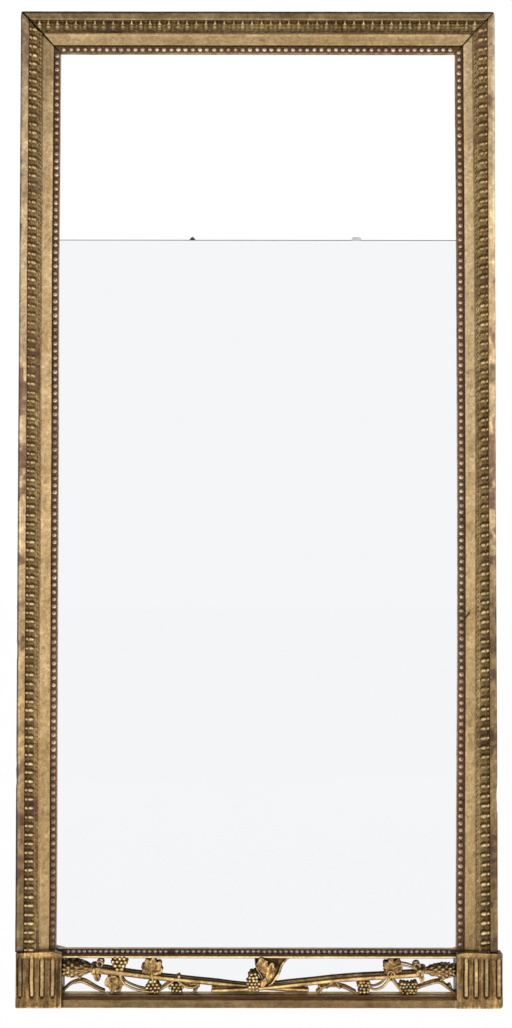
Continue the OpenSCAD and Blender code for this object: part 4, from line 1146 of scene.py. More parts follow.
def straight_rail(name, loop, x0, x1, seed, amount=0.22, step=4.0, chip_amp=0.7):
    P2 = resample(round_corners(loop, 0.4), lambda m: 12.0 if m[0] < 22 else 1.6)
    n2 = normals2(P2)
    E = np.stack([np.arange(len(P2)), (np.arange(len(P2)) + 1) % len(P2)], 1)
    convex = np.clip(-np.einsum("ij,ij->i", relax(P2, E, 3) - P2, n2) / 0.4, 0, 1) * (P2[:, 0] > 23)
    S = rows_between(x0, x1, step)
    n, m = len(P2), len(S)
    X = np.broadcast_to(S[None], (n, m))
    H = np.broadcast_to(P2[:, :1], (n, m))
    Z = np.broadcast_to(P2[:, 1:], (n, m))
    P = np.stack([X, H, Z], -1)
    d = amount * fbm(P, 30, seed) + 0.1 * noise(P, 7, seed + 1) - 0.15
    d = d - chip_amp * convex[:, None] * sstep(0.3, 0.75, noise(P, 14, seed + 3) + 0.3 * noise(P, 5, seed + 4))
    d = np.minimum(d, -0.02) * (H > 22)
    P = P + np.concatenate([np.zeros((n, m, 1)), n2[:, None, :] * d[..., None]], -1)
    P[..., 2] = np.maximum(P[..., 2], 0.0)
    g = Geo()
    g.add(P.transpose(1, 0, 2).reshape(-1, 3), loft_faces(n, m), ngons=[list(range(n)), list(range((m - 1) * n, m * n))])
    return new_mesh(name, g)


# sections as [h, z]
BASE = [[21.5, 0, 0], [48, 0, 0.5], [49, 1, 0.6], [49, 14, 0.6], [48, 15, 0.4], [43, 15.4, 1], [39, 16.4, 1], [37.5, 17.7, 0.6], [37, 19.5, 0.4],
        [36.4, 20.0, 0.3], [34.2, 20.1, 0.4], [33.4, 19.4, 0.3], [31.5, 19.6, 1], [27, 21.4, 1], [21.5, 23.3, 0]]
CROSS = [[21.5, 84.6, 0], [31.8, 84.6, 0.6], [33.6, 85.7, 0.6], [34, 87.5, 0.8], [33.4, 89.1, 0.6], [31.4, 90.9, 0.5], [30, 92.6, 0.3], [26.2, 92.9, 0.3],
         [26.2, 99.4, 0.3], [27.8, 99.8, 0.2], [28.4, 100.3, 0.3], [28.4, 100.8, 0.2], [21.5, 100.9, 0]]


def tone_base(V, N):
    z = V[:, 2] + ZH
    h = -V[:, 1]
    t = 0.8 * sstep(14.6, 15.6, z) * sstep(19.3, 18.2, z)
    t = t + 1.9 * sstep(20.2, 20.9, z) + 0.15 * noise(V, 20, 96)
    # painted highlight along the edge of the fillet
    t = t + 0.9 * bump(z, 19.9, 0.8) * (h > 33)
    flat = sstep(0.8, 1.6, z) * sstep(14.6, 13.6, z)
    t = t + flat * (-0.28 + 0.30 * fbm(V, 60, 91, 2) + 0.28 * noise(V, 18, 92) + 0.2 * noise(V, 7, 93))
    return t


def tone_cross(V, N):
    z = V[:, 2] + ZH
    t = 0.1 - 0.2 * sstep(99.8, 100.4, z)
    t = t - 0.2 * sstep(91.8, 92.8, z) * sstep(99.8, 99.0, z)
    # painted highlight along the rounded lower lip
    t = t + (-0.05 + 1.5 * bump(z, 87.2, 1.6) + 0.25 * noise(V, 40, 95) + 0.2 * noise(V, 10, 97)) * sstep(92, 91.5, z)
    # painted shade on the slope above the lip
    t = t - 0.45 * sstep(88.6, 90.0, z) * sstep(93.2, 92.4, z)
    return t


print("scene: rails")
# the cove above the flat band is darkened as dirt and painted shade
dress("base_rail_moulded", straight_rail("base_rail_moulded", BASE, BL1, BR0, 101), m_rail, ["base_rail"], 2.0, 0.35, tone=tone_base,
      cav=lambda V, N: 0.5 * sstep(15.2, 16.6, V[:, 2] + ZH) * sstep(19.4, 18.6, V[:, 2] + ZH),
      bole=lambda V, N: 0.45 * sstep(15.0, 15.6, V[:, 2] + ZH) * sstep(19.5, 18.8, V[:, 2] + ZH), wear=lambda V, N: 0.6 * sstep(20.0, 20.6, V[:, 2] + ZH))
# the bead channel behind the small beads is darkened as dirt and painted shade
dress("cross_rail_moulded", straight_rail("cross_rail_moulded", CROSS, -XI, XI, 102, chip_amp=0.5), m_rail, ["cross_rail"], 2.0, 0.35,
      tone=tone_cross, cav=lambda V, N: 0.8 * ((-V[:, 1] < 27.6) & (-V[:, 1] > 22)) * sstep(92.4, 93.0, V[:, 2] + ZH) * sstep(99.7, 99.3, V[:, 2] + ZH),
      bole=lambda V, N: 0.5 * sstep(88.4, 89.6, V[:, 2] + ZH) * sstep(93.2, 92.4, V[:, 2] + ZH), wear=lambda V, N: 0.55 * bump(V[:, 2] + ZH, 87.2, 1.6))
g = Geo()
# ground strip of the small beads
gx = rows_between(BL1, XI, 6.0)
loopz = np.array([[26.2, 93.0], [27.2, 93.2], [27.5, 94.2], [27.2, 96.2], [27.5, 98.2], [27.2, 99.2], [26.2, 99.4]])
PP = np.stack([np.broadcast_to(gx[None], (7, len(gx))), np.broadcast_to(loopz[:, :1], (7, len(gx))), np.broadcast_to(loopz[:, 1:], (7, len(gx)))], -1)
g.add(PP.transpose(1, 0, 2).reshape(-1, 3), loft_faces(7, len(gx)), ngons=[list(range(7)), list(range((len(gx) - 1) * 7, len(gx) * 7))])
sm = [((-350.5 + 360) / 2 + (i - 35.0) * 9.8, 96.2, 28.0) for i in range(71)]
sm = [s for s in sm if not (-155.6 < s[0] < -145.8)]  # one bead is gone
bead_row(g, sm, 3.25, "cross", 75)
# the small beads: crowns painted lighter as a highlight, up-facing parts painted darker as shade, grime and painted
# shade low down between them
dress("cross_rail_beads", new_mesh("cross_rail_beads", g), m_bead, ["cross_rail_bead_strip"], 1.2, 0.4, sharp=None,
      cav=lambda V, N: 0.6 * sstep(29.2, 27.8, -V[:, 1]), wear=lambda V, N: 1.0 * sstep(29.3, 30.3, -V[:, 1]),
      tone=lambda V, N: 0.15 + 1.75 * sstep(28.6, 30.0, -V[:, 1]) + 0.25 * noise(V, 14, 98) - 0.35 * sstep(0.2, 0.6, N[:, 2]))

# ---------------------------------------------------------------- corner blocks


REEDS = {"left_corner_block": (-421.8, -400.6, -382.2, -363.2), "right_corner_block": (375.4, 393.3, 411.9, 433.6)}


def lift(x):
    """How much the joint between stile and block lies above the height of the block."""
    return np.interp(x, [-430, -412, -364, -353, -346, 358, 364, 374, 400, 430, 441], [0.0, 0.6, 3.0, 0.0, -1.0, -1.0, 0.0, 1.7, 1.3, 0.0, 0.0])


def block_mesh(name, x0, x1, reed_x, seed, chipped):
    """The reeded block: cap, slightly sunk panel with four reeds, and foot, as a carved front on square sides."""
    xs = np.linspace(x0, x1, 109)
    zs = np.linspace(0.0, BLK, 123)
    X, Z = np.meshgrid(xs, zs, indexing="ij")
    Q = np.stack([X, X * 0, Z], -1)
    panel = sstep(9.0, 27.0, Z + 2.0 * noise(Q, 8, seed)) * sstep(94.0, 84.0, Z + 2.0 * noise(Q, 7, seed + 1))
    H = 52.1 - 2.3 * panel
    reeds = np.zeros_like(H)
    groove = np.zeros_like(H)
    for k, rx in enumerate(reed_x):
        c = rx + 0.5 * noise(np.stack([X * 0, X * 0 + k * 50, Z], -1), 26, seed + 2)
        dx = np.abs(X - c)
        zt, zb = 90.0, 23.0
        dz = np.maximum(np.maximum(Z - zt, zb - Z), 0)
        dd = np.hypot(dx, dz)
        reeds = np.maximum(reeds, np.sqrt(np.clip(3.5 ** 2 - dd ** 2, 0, None)) * 0.75)
        side = 1.0 if chipped else np.where(X < c, 1.0, 0.5)
        groove = np.maximum(groove, side * np.exp(-((dd - 4.2) / 1.1) ** 2))
        groove = np.maximum(groove, 1.3 * np.exp(-(np.hypot(dx / 1.2, Z - 19.4) / 2.6) ** 2))
    # shallow hollows between the reeds
    H = H - 1.1 * groove * sstep(0.05, 0.5, panel) * sstep(90, 80, Z)
    H = np.maximum(H, (49.3 + reeds) * (reeds > 0.05) * (panel > 0.02))
    H = H + 0.22 * fbm(Q, 22, seed + 3) + 0.16 * noise(Q, 4, seed + 4) - 0.2
    # worn edges
    e = np.minimum(np.minimum(X - x0, x1 - X), np.minimum(Z, BLK - Z))
    H = H - 1.5 * np.clip(1 - e / (1.6 + 0.8 * noise(Q, 9, seed + 5)), 0, 1) ** 2
    H = H - 0.9 * sstep(0.35, 0.8, noise(Q, 10, seed + 6)) * sstep(6, 1, e)
    P = np.stack([X, np.minimum(H, 52.35), Z], -1)
    # outline: rounded and chipped corners
    for cx, cz, r in (((x1, 0.0, 7.5), (x0, 0.0, 1.0), (x1, BLK, 2.4), (x0, BLK, 1.0)) if chipped else
                      ((x0, 0.0, 2.6), (x1, 0.0, 1.0), (x0, BLK, 2.2), (x1, BLK, 1.0))):
        sx = 1 if cx == x1 else -1
        sz = 1 if cz == BLK else -1
        qx, qz = sx * (P[..., 0] - (cx - sx * r)), sz * (P[..., 2] - (cz - sz * r))
        q = np.hypot(np.maximum(qx, 0), np.maximum(qz, 0))
        rr = r * (1 + 0.12 * noise(P, 3.5, seed + 8))
        k = np.where((qx > 0) & (qz > 0) & (q > rr), rr / np.maximum(q, 1e-6), 1.0)
        P[..., 0] = np.where(k < 1, cx - sx * r + sx * qx * k, P[..., 0])
        P[..., 2] = np.where(k < 1, cz - sz * r + sz * qz * k, P[..., 2])
    # the top leans a little, lower at the outside
    P[..., 2] += lift(X) * sstep(84, 97, Z)
    nx, nz = X.shape
    # rim of the front, then rows back to the wall side
    rim = [(i, 0) for i in range(nx)] + [(nx - 1, j) for j in range(1, nz)] + [(i, nz - 1) for i in range(nx - 2, -1, -1)] + [(0, j) for j in range(nz - 2, 0, -1)]
    ri = np.array([i * nz + j for i, j in rim])
    V = P.reshape(-1, 3)
    idx = np.arange(nx * nz).reshape(nx, nz)
    quads = [np.stack([idx[:-1, :-1].ravel(), idx[1:, :-1].ravel(), idx[1:, 1:].ravel(), idx[:-1, 1:].ravel()], 1)]
    prev = ri
    Vs = [V]
    base = len(V)
    rimP = V[ri]
    for hb in (46.5, 42, 37, 32, 27, 21.6):
        ring = rimP.copy()
        ring[:, 1] = hb
        lateral = 0.12 * noise(ring, 12, seed + 12)
        ring[:, 0] += np.where(np.abs(ring[:, 0] - x0) < 0.5, np.abs(lateral), np.where(np.abs(ring[:, 0] - x1) < 0.5, -np.abs(lateral), 0))
        now = base + np.arange(len(ri))
        quads.append(np.stack([prev, np.roll(prev, -1), np.roll(now, -1), now], 1))
        Vs.append(ring)
        base += len(ri)
        prev = now
    # consistent winding: the front grid must run against the rim's first ring
    V = np.concatenate(Vs)
    front = quads[0][:, ::-1]
    g = Geo()
    g.add(V, np.concatenate([front] + quads[1:]), ngons=[list(prev[::-1])])
    return new_mesh(name, g)


def block_paint(x0, x1, reed_x, seed):

    def reed_d(V):
        return np.min([np.abs(V[:, 0] - c) for c in reed_x], axis=0)

    def tone(V, N):
        z = V[:, 2] + ZH
        x = V[:, 0]
        d = reed_d(V)
        inpanel = sstep(19, 25, z) * sstep(90, 86, z) * (-V[:, 1] > 46)
        streak = noise(np.stack([x, x * 0, z * 0.12], -1), 3.2, seed + 21) + 0.5 * noise(np.stack([x, x * 0, z * 0.3], -1), 1.6, seed + 22)
        # painted highlight along the reeds and painted shade in the grooves beside them
        t = inpanel * (0.50 * sstep(3.2, 1.2, d) - 0.30 * bump(d, 4.4, 1.2) * sstep(84, 76, z) - 0.22 * sstep(4.2, 6.0, d)) - (0.25 if x0 < 0 else 0.05)
        t -= 0.55 * inpanel * (np.abs(x - reed_x[0]) < 4.2) * (x0 < 0) - 0.15 * inpanel * (np.abs(x - reed_x[3]) < 4.2)
        t += 0.32 * noise(V, 16, seed) + 0.28 * noise(V, 6, seed + 7) + 0.55 * streak * sstep(2.5, 5, d) + 0.28 * streak + 0.22 * noise(V, 2.6, seed + 9)
        # the cap lighter in ragged patches, with a painted highlight along it near the top
        cap = sstep(88, 91.5, z + 1.5 * noise(V, 7, seed + 5))
        t += cap * (0.45 + 0.45 * noise(V, 11, seed + 1) + 0.45 * bump(z, 94.0 + 1.2 * noise(V, 12, seed + 2), 1.8))
        t -= 0.3 * sstep(96.6, 97.8, z)
        foot = sstep(20, 16, z)
        t += foot * (0.10 + 0.25 * noise(V, 16, seed + 3) + 0.3 * noise(V, 6, seed + 4))
        if x0 < 0:
            t += 0.9 * foot * bump(x, x0 + 20.5, 3.0) * bump(z, 60, 9) + 0.7 * bump(x, x0 + 19.0, 1.6) * bump(z, 57, 2.4)
            crack = np.abs(x - (x0 + 6.0) - 0.5 * noise(V, 4, 6)) < 0.8
            t -= 1.5 * crack * (z < 14) * (-V[:, 1] > 46)
            t -= 0.35 * sstep(x0 + 12, x0 + 4, x)
            t += cap * (0.5 * sstep(x0 + 8, x0 + 14, x) * sstep(x0 + 66, x0 + 56, x) - 0.5 * sstep(x0 + 12, x0 + 6, x)) - 0.35 * sstep(-358, -355, x) * inpanel
        else:
            t += 0.5 * foot * bump(x, 388, 7) * sstep(14, 9, z) + 0.6 * foot * sstep(422, 430, x) * sstep(0, 0.5, noise(V, 5, seed + 31))
            t -= 0.8 * cap * sstep(424, 432, x) + 0.5 * sstep(436.5, 439.5, x)
        edge = np.minimum(x - x0, x1 - x)
        t -= 0.8 * sstep(2.4, 0.6, edge)
        t -= 0.4 * (-V[:, 1] < 46)
        return t - 0.30

    def cav(V, N):
        z = V[:, 2] + ZH
        d = reed_d(V)
        # grime and painted shade in the grooves beside the reeds and in the sinkings under their ends
        g = 0.40 * np.exp(-((d - 4.3) / 1.1) ** 2) * sstep(20, 23, z) * sstep(84, 76, z)
        g = np.maximum(g, 0.8 * np.exp(-(np.hypot(d / 1.2, z - 19.4) / 2.6) ** 2))
        return 0.9 * g * (-V[:, 1] > 46)
    return tone, cav


print("scene: blocks")
for name, x0, x1, seed, chipped in (("left_corner_block", BL0, BL1, 201, False), ("right_corner_block", BR0, BR1, 211, True)):
    tone, cav = block_paint(x0, x1, REEDS[name], seed)
    dress(name + "_reeded", block_mesh(name + "_reeded", x0, x1, REEDS[name], seed, chipped), m_block, [name], 1.8, 0.5, tone=tone, cav=cav)

# ---------------------------------------------------------------- frieze carving

FR_LO, FR_HI = np.array([BL1 - 1, -60, 10 - ZH]), np.array([BR0 + 1, -21.6, 92.5 - ZH])


def carved(name, geo, node, voxel=0.7, soften=1, seed=0, chisel=0.14, tone=None, bole=None, mat=None):
    me = carve(name, geo, voxel, soften, chisel, 5.0, seed, (FR_LO, FR_HI))

    def shade(V, N):
        # painted shade and light: parts close to the glass and up-facing parts are darker, high parts and down-facing
        # parts lighter
        h = -V[:, 1]
        t = -0.25 - 1.1 * sstep(30.0, 24.5, h) + 0.35 * sstep(33, 38, h)
        t = t - 1.0 * sstep(0.15, 0.75, N[:, 2]) + 0.25 * sstep(-0.2, -0.7, N[:, 2])
        t = t + 0.30 * noise(V, 18, seed + 1) + 0.22 * noise(V, 6, seed + 2)
        return t + (tone(V, N) if tone is not None else 0)
    dress(name, me, mat or m_carve, [node] if isinstance(node, str) else list(node), 2.0, 0.5, sharp=None, tone=shade, bole=bole)


def pine_cone(geo, x, z, ang, L, s, rows, n, seed):
    """A cone on its side: its tip at (x, z), its axis turned ang degrees from +X. Broad scales lie in staggered rows and point at the tip."""
    rng = np.random.default_rng(seed)
    ca, sa = math.cos(math.radians(ang)), math.sin(math.radians(ang))
    ax = np.array([ca, 0, sa])
    lat = np.array([-sa, 0, ca])
    A = np.array([0, 4, 10, 18, 26, 34, 41, 46.5, 51, 56.0]) * L / 56
    R = np.array([9.5, 12.4, 14.6, 15.6, 15.0, 13.0, 10.6, 8.2, 6.8, 6.4]) * s
    th = np.arange(28) / 28 * 2 * math.pi
    V = np.array([np.array([x, 29.4, z]) + ax * a + r * (np.cos(t) * lat + np.sin(t) * np.array([0, 1, 0])) for a, r in zip(A, R) for t in th])
    geo.add(V, loft_faces(28, len(A)), ngons=[list(range(28)), list(range(9 * 28, 10 * 28))])
    for i in range(rows):
        a = (5.0 + i * 46.0 / rows) * L / 56
        r = np.interp(a, A, R)
        for j in range(n):
            t = (j + 0.5 * (i % 2) + 0.25) / n * 2 * math.pi + 0.05 * rng.uniform(-1, 1)
            rad = np.cos(t) * lat + np.sin(t) * np.array([0, 1, 0])
            if 29.4 + r * math.sin(t) < 22:
                continue
            c = np.array([x, 29.4, z]) + ax * a + rad * (r - 1.2)
            tang = np.cross(ax, rad)
            ln, wd = 0.62 * 46 / rows * L / 56 * 1.35, math.pi * r / n * 0.98
            lift = 1.0 + 0.25 * rng.uniform(-1, 1)
            p_tip = c - ax * ln * 1.05 + rad * 3.2 * lift
            p_base = c + ax * ln * 0.95 - rad * 0.4
            p_l, p_r = c + tang * wd + rad * 0.5, c - tang * wd + rad * 0.5
            q_l, q_r = c - ax * ln * 0.55 + tang * wd * 0.72 + rad * 1.5, c - ax * ln * 0.55 - tang * wd * 0.72 + rad * 1.5
            ridge = c - ax * ln * 0.25 + rad * 3.5 * lift
            back = c - rad * 3.0
            Vk = np.array([p_tip, q_l, p_l, p_base, p_r, q_r, ridge, back])
            loop = [0, 1, 2, 3, 4, 5]
            tr = []
            for k in range(6):
                a0, a1 = loop[k], loop[(k + 1) % 6]
                tr += [[a1, a0, 6], [a0, a1, 7]]
            geo.add(Vk, tris=tr)


def grapes(geo, spots, r, h, seed, core=True):
    """A bunch of round berries on a carved core. spots are (x, z) or (x, z, size)."""
    rng = np.random.default_rng(seed)
    P = np.array([s[:2] for s in spots])
    if core:
        c = P.mean(0)
        sp = np.maximum(P.std(0) * 1.35, r * 0.8)
        ball(geo, (c[0], h - 4.0, c[1]), 1.0, (sp[0] + r * 0.2, 4.6, sp[1] + r * 0.2), 20, 12)
    for s in spots:
        k = rng.uniform(-1, 1, 4)
        size = s[2] if len(s) > 2 else 1.0
        d = np.hypot(*(np.array(s[:2]) - P.mean(0))) / (np.ptp(P) / 2 + 1e-6)
        ball(geo, (s[0] + 0.3 * k[0], h - 1.6 * d + 0.4 * k[1], s[1] + 0.3 * k[2]), r * size * (1 + 0.05 * k[3]), (1, 1, 1), 14, 10)


def vine(geo, pts, h0, h1, w, seed=0, dip=()):
    """A stem through points (x, z): it rises from the glass at its ends to h1 between. dip lists (index, h) that differ."""
    P = np.array(pts, float)
    s = np.linspace(0, 1, len(P))
    hh = h0 + (h1 - h0) * np.sin(math.pi * np.clip(s, 0, 1)) ** 0.6
    for i, hv in dip:
        hh[i] = hv
    C = catmull(np.stack([P[:, 0], hh, P[:, 1]], 1), 8)
    t = np.linspace(0, 1, len(C))
    rng = np.random.default_rng(seed)
    rad = w / 2 * (1.0 + 0.16 * np.sin(t * 9 + rng.uniform(0, 6)) * 0.5 + 0.22 * np.exp(-(t / 0.06) ** 2) + 0.22 * np.exp(-((1 - t) / 0.06) ** 2))
    tube(geo, C, rad, 14, 1.05)


print("scene: frieze")
def staff_tone(V, N):
    # painted highlight along the middle, where it faces forward; darker on top and underneath
    up = N[:, 2]
    return 0.55 * sstep(0.55, 0.1, up) * sstep(-1.0, -0.5, up) + 0.35 * noise(np.stack([V[:, 0], V[:, 1] * 0, V[:, 2] * 0], -1), 30, 71)


# staffs
g = Geo()
C = catmull([(-281, 29.2, 63.8), (-236, 29.3, 57.6), (-190, 29.2, 52), (-139, 28.8, 46.6), (-88, 28.4, 41.9), (-44, 27.9, 37.2), (0, 27.5, 33), (46, 27.2, 29.8), (92, 27, 27.4)], 14)
t = np.linspace(0, 1, len(C))
tube(g, C, np.interp(t, [0, 0.1, 0.16, 0.4, 0.7, 1], [7.4, 6.8, 5.9, 5.4, 4.9, 4.1]) * (1 + 0.03 * np.sin(t * 37)), 22, 0.98)
ball(g, (92, 27, 27.4), 4.2, (0.8, 1, 1.06))
# small cut-off twig on the staff
tube(g, catmull([(-138, 30, 46), (-138.6, 32, 53.5)], 4), [2.4] * 4 + [2.2], 12)
carved("left_staff_carved", g, "left_staff", 0.8, 1, 301, 0.12, tone=staff_tone)
g = Geo()
C = catmull([(292, 32.8, 57), (240, 33.8, 53.4), (186, 34.5, 50.2), (150, 35, 47.6), (120, 35.4, 44.4), (74, 36, 39.6), (27, 36.4, 34.6), (-24, 35.2, 30.6), (-77, 33.4, 28)], 14)
t = np.linspace(0, 1, len(C))
tube(g, C, (5.1 - 0.9 * t) * (1 + 0.03 * np.sin(t * 31)), 22, 0.98)
ball(g, (-77, 33.4, 28), 4.3, (0.9, 1, 1.05))
carved("right_staff_carved", g, "right_staff", 0.8, 1, 302, 0.12, tone=staff_tone)

# cones
def cone_tone(cx, cz):
    def f(V, N):
        x, h, z = V[:, 0], -V[:, 1], V[:, 2] + ZH
        # painted light: the top of the cone darker, its underside lighter
        t = -0.22 - 0.3 * sstep(cz + 2, cz + 12, z) + 0.5 * sstep(cz - 2, cz - 11, z)
        return t + 0.3 * noise(V, 9, 77) + 0.25 * noise(V, 3.5, 78)
    return f


g = Geo()
pine_cone(g, BL1 + 0.4, 66.8, -2, 53, 0.97, 6, 9, 5)
carved("left_pine_cone_scaled", g, "left_pine_cone", 0.55, 0, 303, 0.10, tone=cone_tone(-325, 66.5))
g = Geo()
pine_cone(g, BR0 - 0.4, 62.6, 180 + 1, 55, 0.73, 7, 8, 6)
carved("right_pine_cone_scaled", g, "right_pine_cone", 0.55, 0, 304, 0.10, tone=lambda V, N: 0.15 + 0.2 * noise(V, 9, 78))

# ribbon knots: two turns round the staff, a bow above and two tails below
for name, node, kx, kz, d, seed in (("left_ribbon_knot_tied", "left_ribbon_knot", -286.5, 64.2, 1, 7), ("right_ribbon_knot_tied", "right_ribbon_knot", 295, 60.5, -1, 8)):
    g = Geo()
    a = np.linspace(0, 2 * math.pi, 25)[:-1]
    for off, rr in ((-4.2, 8.2), (3.4, 8.6)):
        ring = np.array([(kx + off + 1.6 * math.sin(t), 30 + rr * math.cos(t), kz + rr * math.sin(t)) for t in a])
        sec = []
        for p, t in zip(ring, a):
            rad = np.array([0, math.cos(t), math.sin(t)])
            for q0, q1 in ((-3.4, -1.4), (-3.4, 0.6), (-1.6, 1.6), (1.6, 1.6), (3.4, 0.6), (3.4, -1.4)):
                sec.append(p + np.array([q0, 0, 0]) + rad * q1)
        V = np.array(sec)
        n, m = 6, len(a)
        idx = np.arange(n * m).reshape(m, n)
        q = np.stack([idx, np.roll(idx, -1, 1), np.roll(np.roll(idx, -1, 1), -1, 0), np.roll(idx, -1, 0)], -1).reshape(-1, 4)
        g.add(V, q)
    # bow above: an open loop on the side of the staff and a folded one next to it
    lx, lz = kx + d * 6.0, kz + 11.0
    loop = np.array([(lx + 5.0 * math.cos(t), 33.5 + 1.2 * math.sin(t * 2), lz + 4.6 * math.sin(t)) for t in np.linspace(0, 2 * math.pi, 31)])
    tube(g, loop, 2.2, 12, 1.4)
    ball(g, (kx - d * 4.5, 31.5, kz + 6.5), 5.6, (1.25, 0.8, 0.8))
    ball(g, (kx + d * 1.0, 36.5, kz + 3.0), 4.4, (1.2, 0.9, 0.95))
    if d > 0:
        petal(g, (kx - 1.0, 36.0, kz + 1.0), (kx + 3.2, 33.0, kz - 19.0), 11.5, 2.6, 1.8, 1.2, 0, bulge=0.7, bend=-1.6)
        petal(g, (kx - 6.0, 35.0, kz + 5.0), (kx + 10.0, 36.5, kz - 7.0), 7.4, 2.4, 1.8, 1.0, 0, bulge=0.5, bend=1.2)
        ball(g, (kx + 1.6, 31.5, kz - 16.5), 4.6, (1.1, 0.8, 1.0))
    else:
        petal(g, (kx, 36.0, kz + 1.0), (kx + 3.0, 32.0, kz - 20.0), 9.0, 2.4, 1.8, 1.0, 0, bulge=0.55, bend=1.0)
        petal(g, (kx + 6.0, 35.0, kz + 6.0), (kx - 7.0, 36.5, kz - 6.0), 9.4, 2.4, 1.8, 1.0, 0, bulge=0.5, bend=1.2)

    def knot_tone(V, N, x0=kx, z0=kz, dd=d):
        blob = np.exp(-(((V[:, 0] - x0 - 1.6) / 5.5) ** 2 + ((V[:, 2] + ZH - z0 + 16.5) / 5.0) ** 2)) * (dd > 0)
        fold = np.exp(-(((V[:, 0] - x0 + 4.5 * dd) / 5.0) ** 2 + ((V[:, 2] + ZH - z0 - 6.5) / 4.0) ** 2)) * (dd > 0)
        return 0.1 - 1.4 * blob - 1.0 * fold + 0.3 * noise(V, 8, 79)
    carved(name, g, node, 0.55, 1, 310 + seed, 0.08, tone=knot_tone)

# vines
g = Geo()
vine(g, [(-349, 23.5), (-335, 37), (-322, 42.2), (-313, 43.2), (-302, 38.6), (-288, 31), (-274, 25)], 26.5, 31.5, 5.2, 1)
vine(g, [(-318, 42), (-316.6, 50)], 29, 30, 5.2, 2)
vine(g, [(-245, 66), (-244, 56), (-241, 46), (-232, 37), (-212, 29), (-196, 26), (-180, 24)], 30, 34.5, 5.0, 3)
vine(g, [(-242, 52), (-247, 41), (-254, 32), (-259, 24)], 31, 31.5, 4.4, 4)
vine(g, [(-188, 64), (-186.6, 52), (-185, 40)], 31, 34.5, 4.2, 5)
vine(g, [(-178, 24), (-164, 34), (-152, 42), (-141, 52)], 28, 33.5, 4.8, 6)
vine(g, [(-146, 50), (-138, 43), (-130, 37), (-121, 33.4), (-110, 33.6), (-103, 36.2)], 30, 33.2, 5.2, 7)
vine(g, [(-104, 36.4), (-107, 29), (-112, 24)], 30, 30, 4.2, 8)
petal(g, (-124, 31.5, 34), (-101, 32.5, 38.5), 9.0, 1.8, 1.6, 0.9, 3, 0.15, 0.5)
carved("left_vine_carved", g, "left_vine", 0.7, 1, 321)
g = Geo()
vine(g, [(110, 24), (119, 32), (130, 35.2), (141, 35.8), (157, 33.4), (168, 28.8), (178, 24)], 27, 31.5, 5.0, 11)
vine(g, [(127, 33), (134, 41.4), (144.4, 51)], 30, 37.5, 4.4, 12)
vine(g, [(141.4, 50), (145, 42), (150, 33)], 35, 35, 4.0, 13)
vine(g, [(112, 36), (117, 31), (116, 24)], 30, 30, 4.4, 14)
vine(g, [(199, 38), (211, 31.2), (225, 35), (235, 45), (242, 55), (244.5, 68)], 30, 38.5, 4.8, 15)
vine(g, [(240.6, 56), (247, 45), (253, 37), (260, 27)], 33, 36.5, 4.6, 16)
# tendril ring round the staff, and the arch to the cone
ring = np.array([(242.5 + 6.4 * math.cos(t), 36.5 + 1.8 * math.sin(t * 2), 55.0 + 8.2 * math.sin(t)) for t in np.linspace(0, 2 * math.pi, 37)])
tube(g, ring, 1.8, 10, 1.2)
vine(g, [(243, 64), (251, 70.4), (262, 73), (276, 70.6), (285, 66.6), (293, 62)], 31, 34, 4.0, 17)
vine(g, [(288, 31), (307, 37.8), (325, 42.6), (334, 40.2), (341, 35.4), (347, 30.4), (358, 22)], 27, 31.5, 5.4, 18)
vine(g, [(326, 42), (334, 47.6), (345, 52)], 29.5, 30.5, 4.4, 19)
vine(g, [(344, 33), (349, 36.5), (351, 30)], 29, 31, 4.0, 20)
carved("right_vine_carved", g, "right_vine", 0.7, 1, 322)

# grapes
def berry_tone(V, N):
    # painted highlight on the crown of each berry, where it faces forward, and painted shade on its sides
    return (1.1 + 0.7 * noise(V, 5, 88)) * sstep(0.88, 0.99, -N[:, 1]) - 1.1 * sstep(0.88, 0.45, -N[:, 1]) - 0.05 + 0.3 * noise(V, 9, 89)


def cluster(x, z, rows, r, jitter, seed):
    rng = np.random.default_rng(seed)
    out = []
    for i, n in enumerate(rows):
        for k in range(n):
            out.append((x + (k - (n - 1) / 2) * r * 1.92 + 1.6 * jitter * rng.uniform(-1, 1), z - i * r * 1.62 + 1.6 * jitter * rng.uniform(-1, 1), 1.04 + 0.16 * rng.uniform(-1, 1)))
    return out


g = Geo()
grapes(g, cluster(-245.4, 84.5, [3, 4, 3, 2], 3.95, 0.4, 1), 4.1, 31.6, 21)
grapes(g, cluster(-185.0, 43.6, [2, 3, 4, 3], 3.75, 0.4, 2), 3.9, 31.2, 22)
grapes(g, cluster(-143.0, 38.6, [3, 4, 3], 3.5, 0.5, 3), 3.6, 31.4, 23)
carved("left_grapes_carved", g, "left_grape_clusters", 0.6, 0, 331, 0.06, tone=berry_tone)
g = Geo()
grapes(g, cluster(194.0, 42.2, [3, 4, 3, 3], 3.5, 0.5, 4), 3.55, 31.6, 24)
grapes(g, cluster(274.0, 39.6, [5, 6, 5, 4], 3.35, 0.5, 5), 3.45, 31.4, 25)
carved("right_grapes_carved", g, "right_grape_clusters", 0.6, 0, 332, 0.06, tone=lambda V, N: 0.6 * berry_tone(V, N) + 0.35 * noise(V, 8, 87) - 0.15)
g = Geo()
grapes(g, cluster(-5.0, 58.0, [2, 3, 3, 4, 3, 3], 3.45, 0.4, 6), 3.6, 38.6, 26)
carved("centre_grapes_carved", g, "centre_grape_cluster", 0.6, 0, 333, 0.06, tone=lambda V, N: berry_tone(V, N) - 0.3)


